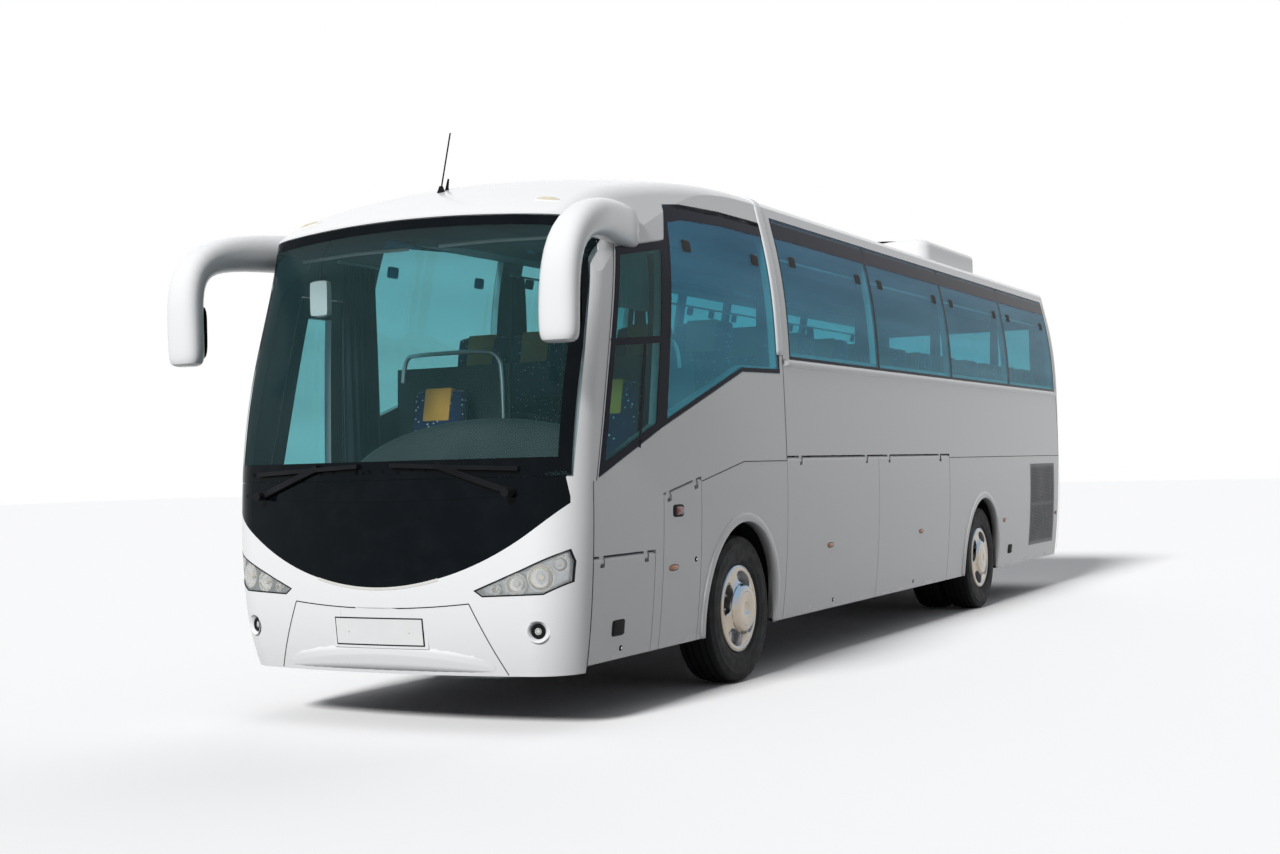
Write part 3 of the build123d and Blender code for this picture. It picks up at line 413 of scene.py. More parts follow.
PAINT = finish("white_paint", white_paint(True), Coat_Weight=0.15, Coat_Roughness=0.05)
SHELL = finish("shell_paint", white_paint(False), Coat_Weight=0.15, Coat_Roughness=0.05)
BLACK = finish("black_gloss", black_gloss, Specular_IOR_Level=0.07)
TRIM = finish("black_trim", grained((0.005, 0.006, 0.007), (0.013, 0.014, 0.016)), Specular_IOR_Level=0.1)
RUBBER = finish("seal_rubber", grained((0.008, 0.008, 0.009), (0.018, 0.018, 0.019), 500.0, 0.0003, 0.6),
                Specular_IOR_Level=0.2)
TINT = finish("tinted_glass", tinted_glass, (0.53, 0.88, 0.91), Metallic=0.8, Roughness=0.0)
CLEAR = finish("clear_glass", clear_glass, (0.90, 0.96, 0.96), IOR=1.52, Roughness=0.0)
LENS = finish("clear_lens", lens((0.80, 0.84, 0.84), 0.16, 420.0), IOR=1.5, Coat_Weight=1.0)
AMBER = finish("amber_lens", lens((0.62, 0.16, 0.012), 0.92, 900.0), IOR=1.5, Coat_Weight=0.25)
RED = finish("red_lens", lens((0.42, 0.012, 0.012), 0.92, 700.0), IOR=1.5, Coat_Weight=0.25)
PALE = finish("pale_lens", lens((0.78, 0.70, 0.52), 0.9, 700.0), IOR=1.5, Coat_Weight=1.0)
CHROME = finish("bright_metal", bright_metal, Metallic=1.0)
COVER_METAL = finish("cover_metal", cover_metal, Metallic=1.0)
BAND = finish("printed_band", printed_band, Specular_IOR_Level=0.03)
STEEL = finish("brushed_steel", brushed_steel, Metallic=1.0)
UNDER = finish("chassis_paint", chassis_paint, Coat_Weight=0.1)
IRON = finish("cast_iron", cast_iron)
GRILLE = finish("grille_paint", grained((0.13, 0.135, 0.145), (0.19, 0.195, 0.205), 200.0, 0.0005, 0.42))
TYRES = {axle: finish("tyre_rubber_" + name, tyre_rubber(axle), Specular_IOR_Level=0.2)
         for axle, name in ((0, "front"), (REAR_AXLE, "rear"))}
CLOTH = finish("seat_cloth", seat_cloth, Sheen_Weight=0.4)
OCHRE = finish("cover_leather", cover_leather)
CURTAIN = finish("curtain_cloth", curtain_cloth, Sheen_Weight=0.2)
BLIND = finish("blind_cloth", blind_cloth)
LINO = finish("flecked_floor", flecked_floor)
LINING = finish("grey_trim", grained((0.20, 0.21, 0.23), (0.27, 0.28, 0.30), 240.0, 0.0005, 0.6))
DASH = finish("dash_plastic", grained((0.016, 0.022, 0.024), (0.032, 0.04, 0.043), 240.0, 0.0006, 0.5))
MIRROR = finish("mirror_face", mirror_face, Metallic=1.0)
PLATE = finish("plate_white", plate_white, Coat_Weight=0.4)
SLOTS = {
    "white_paint": [PAINT, SHELL], "black_gloss": [BLACK, BAND], "black_trim": [TRIM, RUBBER, DASH],
    "clear_glass": [LENS, PALE], "red_lens": [RED, AMBER], "bright_wheel": [CHROME, COVER_METAL, MIRROR],
    "door_steel": [STEEL], "dark_steel": [UNDER], "grille_paint": [GRILLE], "grey_trim": [LINING],
    "tyre_rubber": list(TYRES.values()), "seat_cloth": [CLOTH, OCHRE],
}
SLOT_OF = {material.name: slot for slot, group in SLOTS.items() for material in group}

NODE_FINISH = {
    "white_paint": PAINT, "black_gloss": BLACK, "black_trim": TRIM, "tinted_glass": TINT, "clear_glass": CLEAR,
    "red_lens": RED, "dark_steel": UNDER, "grille_paint": GRILLE, "engine_iron": IRON, "bright_wheel": CHROME,
    "tyre_rubber": TYRES[0], "seat_cloth": CLOTH, "grey_floor": LINO, "grey_trim": LINING, "door_steel": STEEL,
}
OWN_FINISH = {"dashboard": DASH, "partitions": DASH, "air_conditioner": SHELL, "roof_hatches": SHELL,
              "mirrors": SHELL}
for part in frame["record"]["subparts"]:
    surface = nodes[part["node"]].data
    surface.materials.clear()
    surface.materials.append(OWN_FINISH.get(part["node"], NODE_FINISH[part["material_slot"]]))

# Camera at the photograph's place and angle
yaw, pitch, roll = radians(207.175), radians(1.403), radians(-1.423)
look = Vector((cos(pitch) * cos(yaw), cos(pitch) * sin(yaw), sin(pitch)))
level = look.cross(Vector((0, 0, 1))).normalized()
upright = level.cross(look)
across = level * cos(roll) + upright * sin(roll)
tall = upright * cos(roll) - level * sin(roll)
camera = bpy.data.objects.new("camera", bpy.data.cameras.new("camera"))
scene.collection.objects.link(camera)
camera.matrix_world = Matrix((across, tall, -look)).transposed().to_4x4()
camera.location = (14.3204, 6.0400, 1.5316)
FILM = 36.0
FOCUS_PIXELS, PICTURE_PIXELS = 1675.38, 1280
camera.data.sensor_width = FILM
camera.data.lens = FILM * FOCUS_PIXELS / PICTURE_PIXELS
camera.data.clip_end = 400.0
scene.camera = camera

# Stage: pale floor, white surroundings, soft light from the front right
floor_mesh = bpy.data.meshes.new("floor")
REACH = 90
corners = [(-REACH, -REACH, 0), (REACH, -REACH, 0), (REACH, REACH, 0), (-REACH, REACH, 0)]
floor_mesh.from_pydata(corners, [], [(0, 1, 2, 3)])
floor_mesh.materials.append(finish("floor_white", floor_white, Specular_IOR_Level=0.0))
stage_floor = bpy.data.objects.new("stage_floor", floor_mesh)
scene.collection.objects.link(stage_floor)
stage_floor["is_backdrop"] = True
world = bpy.data.worlds.new("studio")
scene.world = world
world.use_nodes = True
sky = world.node_tree.nodes["Background"]
white = Field(sky.outputs[0]).seen().mix(rgb(0.16, 0.165, 0.175), rgb(1.0, 1.0, 1.0))
world.node_tree.links.new(white.socket, sky.inputs["Color"])
LAMPS = (("key", (-0.85, 0.0, -0.53), 3.4, 12), ("back", (0.9, 0.1, -0.5), 0.8, 60))
for name, toward, strength, softness in LAMPS:
    lamp = bpy.data.objects.new(name, bpy.data.lights.new(name, "SUN"))
    lamp.visible_glossy = False
    lamp.data.energy = strength
    lamp.data.angle = radians(softness)
    lamp.rotation_mode = "QUATERNION"
    lamp.rotation_quaternion = Vector(toward).to_track_quat("-Z", "Y")
    scene.collection.objects.link(lamp)

# Body surface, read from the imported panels
SHELL_NODES = ["front_cap", "front_lid", "wiper_apron", "bumper_flap", "front_lamps", "windscreen",
               "windscreen_pillars", "front_side_walls", "side_walls", "side_windows", "lower_panels", "roof",
               "roof_dome", "rear_cap", "rear_window", "engine_lid", "tail_lamps", "left_luggage_door_front",
               "left_luggage_door_rear"]
points, faces = [], []
for name in SHELL_NODES:
    mesh = nodes[name].data
    first = len(points)
    points += [vertex.co.copy() for vertex in mesh.vertices]
    faces += [[first + index for index in polygon.vertices] for polygon in mesh.polygons]
shell = BVHTree.FromPolygons(points, faces)


def nose(left, height):
    """Place of the front surface, measured along X; a ray that falls into a panel gap is moved a little."""
    shifts = (0.0, 0.0015, -0.0015, 0.004, -0.004)
    for aside in shifts:
        for up in shifts:
            hit = shell.ray_cast(Vector((9, left + aside, height + up)), Vector((-1, 0, 0)))[0]
            if hit and hit.x > AXLE:
                return hit.x
    return 6.0


def back(left, height):
    """Place of the rear surface, measured along X."""
    hit = shell.ray_cast(Vector((-9, left, height)), Vector((1, 0, 0)))[0]
    return hit.x if hit else -6.0


def top(x, left):
    """Height of the roof surface."""
    hit = shell.ray_cast(Vector((x, left, 6)), Vector((0, 0, -1)))[0]
    return hit.z if hit else 3.6


FLANK = []
for step in range(320):
    height = 0.376 + step * 0.01
    hit = shell.ray_cast(Vector((AXLE - 1.5, 3, height)), Vector((0, -1, 0)))[0]
    if hit and hit.y > 1.0 and abs(height - BELT) > 0.05:
        FLANK.append((height, hit.y))


def flank(height):
    """Half width of the straight flanks at a height."""
    for (low, first), (high, second) in zip(FLANK, FLANK[1:]):
        if height <= high:
            share = (height - low) / (high - low)
            return first + (second - first) * share
    return FLANK[-1][1]


def on_side(side, lift):
    """Maker of points on one flank, from a place ahead of the front axle and a height."""
    return lambda ahead, height: Vector((AXLE + ahead, side * (flank(height) + lift), height))


def on_nose(lift):
    """Maker of points on the front surface, from a place to the left and a height."""
    return lambda left, height: Vector((nose(left, height) + lift, left, height))


def on_tail(lift):
    return lambda left, height: Vector((back(left, height) - lift, left, height))


def piece(name, vertices, polygons, material, body="body", slot=None, smooth=True, thick=0.0, outside=True):
    """Finished mesh piece riding on a body; outside turns its faces outwards."""
    mesh = bpy.data.meshes.new(name)
    mesh.from_pydata([tuple(v) for v in vertices], [], polygons)
    shape = bmesh.new()
    shape.from_mesh(mesh)
    bmesh.ops.remove_doubles(shape, verts=shape.verts, dist=1e-5)
    if outside:
        bmesh.ops.recalc_face_normals(shape, faces=shape.faces)
    shape.to_mesh(mesh)
    shape.free()
    return place_mesh(name, mesh, material, body, slot, smooth, thick)


def place_mesh(name, mesh, material, body, slot=None, smooth=True, thick=0.0):
    """Object for a mesh, with its finish, riding on a body; the finish's slot is looked up but set on nothing."""
    mesh.materials.clear()
    mesh.materials.append(material)
    made = bpy.data.objects.new(name, mesh)
    scene.collection.objects.link(made)
    if thick:
        wall = made.modifiers.new("wall", "SOLIDIFY")
        wall.thickness = thick
        wall.offset = -1.0
    if smooth:
        mesh.polygons.foreach_set("use_smooth", [True] * len(mesh.polygons))
        mesh.set_sharp_from_angle(angle=radians(38))
    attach(made, body)
    slot = slot or SLOT_OF.get(material.name)
    return made


def grid(rows, closed=False):
    """Points and quads of a grid given as rows of points."""
    width = len(rows[0])
    vertices = [point for row in rows for point in row]
    count = len(rows)
    quads = []
    for r in range(count if closed else count - 1):
        for c in range(width - 1):
            n = (r + 1) % count
            quads.append((r * width + c, r * width + c + 1, n * width + c + 1, n * width + c))
    return vertices, quads


def merged(parts):
    """One list of points and faces from several."""
    vertices, polygons = [], []
    for points, quads in parts:
        first = len(vertices)
        vertices += points
        polygons += [tuple(first + index for index in quad) for quad in quads]
    return vertices, polygons


def faced(vertices, polygons, outward):
    """Faces turned so that they look along outward."""
    result = []
    for quad in polygons:
        a, b, c = (vertices[i] for i in quad[:3])
        normal = (b - a).cross(c - a)
        result.append(quad if normal.dot(outward) >= 0 else tuple(reversed(quad)))
    return result


def skin(name, sheet, outward, material, body="body", thick=0.003, slot=None, smooth=True):
    """Sheet facing outward, as a piece with a little thickness behind it."""
    vertices, polygons = sheet
    polygons = faced(vertices, polygons, Vector(outward))
    return piece(name, vertices, polygons, material, body, slot, smooth, thick, False)


def lay(name, parts, outward, material, body="body", thick=0.0012):
    """Sheets laid on the body, as one piece."""
    return skin(name, merged(parts), outward, material, body, thick, None, False)


def evenly(first, last, steps):
    """Numbers from first to last in equal steps."""
    return [first + (last - first) * i / steps for i in range(steps + 1)]


def inset(outline, width):
    """Closed outline of pairs drawn in by width, with mitred corners."""
    area = sum(a[0] * b[1] - b[0] * a[1] for a, b in zip(outline, outline[1:] + outline[:1]))
    sign = 1 if area > 0 else -1
    result = []
    count = len(outline)
    for i in range(count):
        before, here, after = (Vector(outline[(i + k) % count]) for k in (-1, 0, 1))
        first, second = (here - before).normalized(), (after - here).normalized()
        n1, n2 = Vector((-first.y, first.x)) * sign, Vector((-second.y, second.x)) * sign
        bisector = (n1 + n2) / max(0.4, 1 + n1.dot(n2))
        result.append(tuple(here + bisector * width))
    return result


def stretch(path, step):
    """Open path with points added so that none are further apart than step."""
    dense = []
    for a, b in zip(path, path[1:]):
        count = max(1, int(sqrt(sum((p - q) ** 2 for p, q in zip(a, b))) / step))
        dense += [tuple(p + (q - p) * i / count for p, q in zip(a, b)) for i in range(count)]
    return dense + [path[-1]]


def border(outline, width, surface, step=0.09):
    """Band inside a closed outline, laid on a surface."""
    inner = inset(outline, width)
    rows = []
    count = len(outline)
    for i in range(count):
        j = (i + 1) % count
        length = (Vector(outline[j]) - Vector(outline[i])).length
        steps = max(1, int(length / step))
        for k in range(steps):
            t = k / steps
            outer_point = Vector(outline[i]).lerp(Vector(outline[j]), t)
            inner_point = Vector(inner[i]).lerp(Vector(inner[j]), t)
            rows.append([surface(*outer_point.lerp(inner_point, s / 2)) for s in range(3)])
    return grid(rows, True)


def patch(first, second, surface, across=4, step=0.08):
    """Sheet between two open lines with the same number of points, laid on a surface."""
    first, second = [Vector(p) for p in first], [Vector(p) for p in second]
    rows = []
    for i in range(len(first) - 1):
        length = max((edge[i + 1] - edge[i]).length for edge in (first, second))
        steps = max(1, int(length / step))
        for k in range(steps + (i == len(first) - 2)):
            a, b = (edge[i].lerp(edge[i + 1], k / steps) for edge in (first, second))
            rows.append([surface(*a.lerp(b, s / across)) for s in range(across + 1)])
    return grid(rows)


def line(path, width, surface, step=0.05):
    """Narrow strip along an open path, laid on a surface."""
    dense = [Vector(p) for p in stretch(path, step)]
    rows = []
    for i, here in enumerate(dense):
        run = (dense[min(i + 1, len(dense) - 1)] - dense[max(i - 1, 0)]).normalized()
        side = Vector((-run.y, run.x)) * width / 2
        rows.append([surface(*(here - side)), surface(*(here + side))])
    return grid(rows)


def spun(profile, segments=96, centre=(0, 0, 0)):
    """Solid of revolution about Y from (radius, along) points."""
    x, y, z = centre
    rows = []
    for i in range(segments):
        c, s = cos(2 * pi * i / segments), sin(2 * pi * i / segments)
        rows.append([Vector((x + r * c, y + a, z + r * s)) for r, a in profile])
    return grid(rows, True)


def tube(path, radius, sides=12):
    """Round tube along a list of points; radius is a number or one for each point."""
    path = [Vector(p) for p in path]
    rows = []
    side = None
    for i, here in enumerate(path):
        run = (path[min(i + 1, len(path) - 1)] - path[max(i - 1, 0)]).normalized()
        if side is None:
            side = run.orthogonal().normalized()
        side = (side - run * side.dot(run)).normalized()
        up = run.cross(side)
        size = radius[i] if isinstance(radius, (list, tuple)) else radius
        turns = [2 * pi * k / sides for k in range(sides)]
        ring = [here + (side * cos(turn) + up * sin(turn)) * size for turn in turns]
        rows.append(ring + ring[:1])
    vertices, quads = grid(rows)
    quads.append(tuple(range(sides)))
    quads.append(tuple(len(vertices) - sides - 1 + k for k in range(sides)))
    return vertices, quads


def smooth_path(points, count=40):
    """Points along a NURBS line through the given control points."""
    curve = bpy.data.curves.new("route", "CURVE")
    curve.dimensions = "3D"
    spline = curve.splines.new("NURBS")
    spline.points.add(len(points) - 1)
    for control, point in zip(spline.points, points):
        control.co = (*point, 1)
    spline.order_u = 3
    spline.use_endpoint_u = True
    spline.resolution_u = max(2, count // len(points))
    holder = bpy.data.objects.new("route", curve)
    mesh = bpy.data.meshes.new_from_object(holder)
    path = [vertex.co.copy() for vertex in mesh.vertices]
    bpy.data.objects.remove(holder)
    return path


def lists_of(shape):
    """Points and faces of a bmesh, which is then freed."""
    shape.verts.index_update()
    vertices = [vertex.co.copy() for vertex in shape.verts]
    polygons = [tuple(vertex.index for vertex in face.verts) for face in shape.faces]
    shape.free()
    return vertices, polygons


def cuboid(low, high, round_by, segments=3):
    """Box between two corners with bevelled edges."""
    shape = bmesh.new()
    bmesh.ops.create_cube(shape, size=1.0)
    for vertex in shape.verts:
        vertex.co = Vector([(l + h) / 2 + c * (h - l) for l, h, c in zip(low, high, vertex.co)])
    bmesh.ops.bevel(shape, geom=shape.edges, offset=round_by, segments=segments, affect="EDGES", profile=0.5)
    return lists_of(shape)


def turned(part, matrix):
    """Copy of points and faces moved by a matrix."""
    return [matrix @ vertex for vertex in part[0]], part[1]


def rotation(degrees, axis):
    return Matrix.Rotation(radians(degrees), 4, axis)


move = Matrix.Translation


def facing_back(part, x, left, height):
    """Part made with its crown along Y, moved to a place with its crown to the rear."""
    return turned(part, move((x, left, height)) @ rotation(90, "Z"))


def squircle(angle, power):
    """Point in a direction on a rounded square of half width 1."""
    c, s = cos(angle), sin(angle)
    reach = (abs(c) ** power + abs(s) ** power) ** (-1 / power)
    return c * reach, s * reach


def tree_of(name, sizes):
    """Geometry Nodes tree that repeats a piece, and its inputs by name."""
    group = bpy.data.node_groups.new(name, "GeometryNodeTree")
    group.interface.new_socket("Geometry", in_out="OUTPUT", socket_type="NodeSocketGeometry")
    shared = {"Piece": "Object", "Count": "Int", **sizes, "Finish": "Material"}
    for label, kind in shared.items():
        group.interface.new_socket(label, in_out="INPUT", socket_type="NodeSocket" + kind)
    entry = group.nodes.new("NodeGroupInput")
    return group, {socket.name: Field(socket) for socket in entry.outputs if socket.name}


def close_tree(group, geometry, material):
    """End a tree in Realize Instances and Set Material."""
    solid = geometry.node("GeometryNodeRealizeInstances", {}, {0: geometry})
    painted = solid.node("GeometryNodeSetMaterial", {}, {"Geometry": solid, "Material": material})
    leave = group.nodes.new("NodeGroupOutput")
    group.links.new(painted.socket, leave.inputs[0])
    return group


def row_tree():
    """Copies of one piece set in a straight row."""
    group, given = tree_of("row_of_pieces", {"Start": "Vector", "Step": "Vector"})
    shape = given["Piece"].node("GeometryNodeObjectInfo", {}, {"Object": given["Piece"]}, "Geometry")
    spots = given["Count"].node("GeometryNodeMeshLine", {"mode": "OFFSET"}, {
        "Count": given["Count"], "Start Location": given["Start"], "Offset": given["Step"]})
    copies = spots.node("GeometryNodeInstanceOnPoints", {}, {"Points": spots, "Instance": shape})
    return close_tree(group, copies, given["Finish"])


def ring_tree():
    """Copies of one piece set round an axis along Y, turned with it."""
    group, given = tree_of("ring_of_pieces", {"Radius": "Float", "Centre": "Vector"})
    shape = given["Piece"].node("GeometryNodeObjectInfo", {}, {"Object": given["Piece"]}, "Geometry")
    spots = given["Count"].node("GeometryNodeMeshCircle", {}, {
        "Vertices": given["Count"], "Radius": given["Radius"]})
    place = spots.node("GeometryNodeInputPosition")
    facing = place.node("FunctionNodeAlignRotationToVector", {"axis": "X", "pivot_axis": "Z"}, {"Vector": place})
    copies = spots.node("GeometryNodeInstanceOnPoints", {}, {
        "Points": spots, "Instance": shape, "Rotation": facing})
    solid = copies.node("GeometryNodeRealizeInstances", {}, {0: copies})
    upright = solid.node("GeometryNodeTransform", {}, {
        "Geometry": solid, "Rotation": (radians(90), 0, 0), "Translation": given["Centre"]})
    return close_tree(group, upright, given["Finish"])


ROW = row_tree()
RING = ring_tree()


def repeated(name, group, part, body="body", slot=None, smooth=True, **sizes):
    """Mesh piece from a tree that repeats part, with the tree's inputs given by name."""
    mesh = bpy.data.meshes.new(name + "_unit")
    mesh.from_pydata([tuple(v) for v in part[0]], [], part[1])
    unit = bpy.data.objects.new(name + "_unit", mesh)
    carrier = bpy.data.objects.new(name + "_carrier", bpy.data.meshes.new(name + "_carrier"))
    scene.collection.objects.link(carrier)
    scene.collection.objects.link(unit)
    modifier = carrier.modifiers.new("repeat", "NODES")
    modifier.node_group = group
    names = {item.name: item.identifier for item in group.interface.items_tree if item.in_out == "INPUT"}
    modifier[names["Piece"]] = unit
    for key, value in sizes.items():
        modifier[names[key]] = value
    whole = bpy.data.meshes.new_from_object(carrier.evaluated_get(bpy.context.evaluated_depsgraph_get()))
    bpy.data.objects.remove(carrier)
    bpy.data.objects.remove(unit)
    shape = bmesh.new()
    shape.from_mesh(whole)
    bmesh.ops.recalc_face_normals(shape, faces=shape.faces)
    shape.to_mesh(whole)
    shape.free()
    return place_mesh(name, whole, sizes["Finish"], body, slot, smooth)


def in_row(name, part, count, start, step, material, body="body"):
    """Copies of part in a straight row, as one piece."""
    return repeated(name, ROW, part, body, Count=count, Start=start, Step=step, Finish=material)


# Dark bands and borders of the side glass
LIFT = 0.0016
WINDOW_FOOT, WINDOW_HEAD, BAND_FOOT = 2.335, 3.412, 3.262
BAND_REAR, BAND_FRONT, BAND_HEAD = -9.391, -0.929, WINDOW_HEAD + 0.006
PANES = [(-2.985, -0.935), (-5.150, -2.997), (-7.320, -5.162), (-9.385, -7.332)]
PILLARS = (-2.991, -5.156, -7.326)
QUARTER_HEAD = [(0.960, 3.270), (0.706, 3.303), (0.041, 3.336), (-0.722, 3.343)]
QUARTER_SHADE = [(0.983, 3.150), (0.706, 3.200), (0.041, 3.236), (-0.722, 3.240)]
QUARTER = [(1.258, 1.801), *QUARTER_HEAD, (-0.722, 2.213), (-0.026, 2.199)]
DRIVER = [(2.158, 1.486), (1.768, 2.902), (1.063, 3.020), (1.328, 1.779)]
DRIVER_BARS = [([(1.205, 2.36), (1.94, 2.30)], 0.045), ([(1.62, 1.66), (1.47, 2.35)], 0.03)]
POST = {1: [(1.330, 1.775), (1.063, 3.022)], -1: [(1.330, 2.80), (1.10, 3.00)]}
POST_FRONT = [(1.250, 1.801), (0.958, 3.272)]
CAP_SEAM, CREASE_TOP = 2.230, 1.463
DOME_SEAM, TAIL_SEAM = -0.790, -9.45
CREASE_END = {1: (0.715, 1.4347), -1: (1.292, 1.3324)}


def span(rear, front, foot, head):
    """Outline of an upright rectangle."""
    return [(rear, foot), (front, foot), (front, head), (rear, head)]


left_panes = [span(*ends, WINDOW_FOOT, WINDOW_HEAD) for ends in PANES]
right_panes = list(left_panes)
right_panes[1] = span(-4.064, -2.997, WINDOW_FOOT, WINDOW_HEAD)
right_panes.insert(2, span(-5.150, -4.076, 2.835, WINDOW_HEAD))
PANE_OUTLINES = {1: left_panes, -1: right_panes}
for side, place in SIDES:
    surface = on_side(side, LIFT)
    bands = [border(outline, 0.015, surface) for outline in PANE_OUTLINES[side]]
    bands.append(patch([(BAND_REAR, BAND_FOOT), (BAND_FRONT, BAND_FOOT)],
                       [(BAND_REAR, BAND_HEAD), (BAND_FRONT, BAND_HEAD)], surface))
    bands += [line([(rear, WINDOW_FOOT), (rear, BAND_FOOT)], 0.02, surface) for rear in PILLARS]
    foot = WINDOW_FOOT - 0.002
    bands.append(line([(BAND_REAR + 0.002, foot), (BAND_FRONT - 0.002, foot)], 0.012, surface))
    bands.append(border(QUARTER, 0.03, surface))
    bands.append(patch(QUARTER_HEAD, QUARTER_SHADE, surface))
    bands.append(patch(POST[side], POST_FRONT, surface))
    if side > 0:
        bands.append(border(DRIVER, 0.052, surface))
        bands += [line(path, width, surface) for path, width in DRIVER_BARS]
    lay(place + "_window_bands", bands, (0, side, 0), BAND)
    crease = [(DOME_SEAM, BELT), (-0.008, BELT), (0.008, BELT), CREASE_END[side]]
    seams = [([(CAP_SEAM, SKIRT + 0.002), (CAP_SEAM, CREASE_TOP)], 0.006), (crease, 0.006),
             ([(DOME_SEAM, BELT), (DOME_SEAM, 3.44)], 0.005),
             ([(TAIL_SEAM, SKIRT + 0.065), (TAIL_SEAM, 3.40)], 0.005),
             ([(TAIL_SEAM, BELT), (-4.952, BELT)], 0.006), ([(2.19, CREASE_TOP), (1.74, 3.12)], 0.006)]
    seals = [line(path, width, surface) for path, width in seams]
    lay(place + "_panel_seams", seals, (0, side, 0), RUBBER, "body", 0.0008)

# Waist ledge under the windows and the raised band at the front pillar
LEDGE_HEIGHT, LEDGE_HALF, LEDGE_RISE = 2.295, 0.030, 0.014
for side, place in SIDES:
    ledge = []
    for ahead in evenly(-9.43 if side > 0 else -4.03, -0.80, 60):
        row = []
        for angle in evenly(0, pi, 8):
            height = LEDGE_HEIGHT - LEDGE_HALF * cos(angle)
            out = side * (flank(height) - 0.001 + LEDGE_RISE * sin(angle))
            row.append(Vector((AXLE + ahead, out, height)))
        ledge.append(row)
    skin(place + "_waist_ledge", grid(ledge), (0, side, 0), SHELL)

BAND_PROFILE = ((-0.80, 0.0), (-0.796, 0.008), (-0.785, 0.014), (-0.76, 0.016), (-0.72, 0.016), (-0.695, 0.014),
                (-0.684, 0.008), (-0.68, 0.0))
BAND_MIDDLE = Vector((AXLE - 0.74, 0, 2.35))
band_rows = []
for ahead, lift in BAND_PROFILE:
    row = []
    for turn in evenly(0, pi, 120):
        aim = Vector((0, -cos(turn), -sin(turn)))
        start = Vector((AXLE + ahead, 0, BAND_MIDDLE.z)) - aim * 4
        row.append(shell.ray_cast(start, aim)[0] - aim * (lift - 0.001))
    band_rows.append(row)
vertices, quads = grid(band_rows)
quads = [faced(vertices, [quad], vertices[quad[0]] - BAND_MIDDLE)[0] for quad in quads]
piece("pillar_band", vertices, quads, SHELL, thick=0.003, outside=False)

# Windscreen border and shaded foot, lid edge, apron step and front seams
SCREEN_HALF = [(1.176, 3.050), (1.216, 2.65), (1.232, 2.25), (1.230, 1.85), (1.226, 1.502)]
SCREEN_HEAD = [(-0.80, 3.081), (-0.40, 3.100), (0, 3.106), (0.40, 3.100), (0.80, 3.081)]
SCREEN = [(-1.176, 3.050), *SCREEN_HEAD, *SCREEN_HALF, (0.80, 1.502), (0, 1.502), (-0.80, 1.502),
          *[(-left, height) for left, height in SCREEN_HALF[:0:-1]]]
on_front = on_nose(LIFT)


def on_screen(left, height):
    """Point on the windscreen, carried straight on over the last centimetre at its edges."""
    reach = 1.236 - 0.06 * max(0.0, (height - 2.25) / 0.8) ** 2 - 0.014
    inner = max(-reach, min(reach, left))
    level = max(1.512, min(3.092 - 0.04 * left * left, height))
    x = nose(inner, level)
    slope = (x - nose(inner * 0.98, level)) / (inner * 0.02) if abs(inner) > 0.5 else 0.0
    return Vector((x + slope * (left - inner) + LIFT, left, height))


def bow(left, height, rise, count=24):
    """Points of an arc across the front, from one side to the other."""
    return [(left * share, height + rise * share * share) for share in evenly(-1, 1, count)]


foot_band = patch([(-1.21, 1.53), (1.21, 1.53)], [(-1.21, 1.61), (1.21, 1.61)], on_screen, 4, 0.025)
lay("windscreen_border", [border(SCREEN, 0.058, on_screen, 0.03), foot_band], FORWARD, BLACK)
seams = [bow(0.634, 0.728, 0.033), [(0.634, 0.761), (0.832, 0.338)], [(-0.634, 0.761), (-0.832, 0.338)]]
lay("front_seams", [line(path, 0.006, on_front) for path in seams], FORWARD, RUBBER, "body", 0.0008)
lid_edge = line(bow(0.44, 0.846, 0.058), 0.016, on_nose(0.003))
lay("lid_bright_edge", [lid_edge], FORWARD, CHROME, "body", 0.003)
step = patch(bow(1.10, 1.395, 0.03), bow(1.10, 1.365, 0.04), on_nose(0.004))
lay("apron_step", [step], FORWARD, BLACK, "body", 0.004)

# Front plate: raised holder over the seat, blank plate and screws; shallow ridge along the foot of the flap
SEAT_LOW, SEAT_HIGH = 0.53, 0.79


def on_holder(lift):
    """Points on the bumper flap as if its plate seat were filled."""

    def point(left, height):
        low, high = nose(left, SEAT_LOW), nose(left, SEAT_HIGH)
        share = (height - SEAT_LOW) / (SEAT_HIGH - SEAT_LOW)
        return Vector((low + (high - low) * share + lift, left, height))

    return point


def across_front(height, half):
    return [(left, height) for left in evenly(-half, half, 16)]


holder_head = [(left, 0.7255 + 0.0821 * left * left) for left in evenly(-0.345, 0.345, 16)]
HOLDER = (("plate_holder", across_front(0.487, 0.345), holder_head, 0.003, SHELL),
          ("plate_frame", across_front(0.503, 0.322), across_front(0.672, 0.322), 0.006, TRIM),
          ("front_plate", across_front(0.511, 0.314), across_front(0.664, 0.314), 0.0085, PLATE))
for name, low, high, lift, material in HOLDER:
    lay(name, [patch(low, high, on_holder(lift), 6)], FORWARD, material, "body", 0.003)
screw = spun([(0.0, 0.0), (0.008, 0.0), (0.008, 0.002), (0.006, 0.0032), (0.0, 0.0036)], 16)
screw = turned(screw, rotation(-90, "Z"))
in_row("front_plate_screws", screw, 2, on_holder(0.0080)(-0.22, 0.587), (0, 0.44, 0), CHROME)
RIDGE_HALF, RIDGE_FOOT = 0.78, 0.342
ridge = []
for left in evenly(-RIDGE_HALF, RIDGE_HALF, 40):
    swell = max(0.0, 1 - (left / RIDGE_HALF) ** 2)
    crest = 0.372 + 0.075 * swell
    profile = ((RIDGE_FOOT, 0.0), ((RIDGE_FOOT + crest) / 2, 0.004), (crest - 0.006, 0.0066), (crest, 0.007),
               (crest + 0.006, 0.0066), (crest + 0.03, 0.003), (crest + 0.07, 0.0))
    ridge.append([Vector((nose(left, height) - 0.0005 + lift * swell ** 0.8, left, height))
                  for height, lift in profile])
skin("flap_ridge", grid(ridge), FORWARD, SHELL, "body", 0.002)

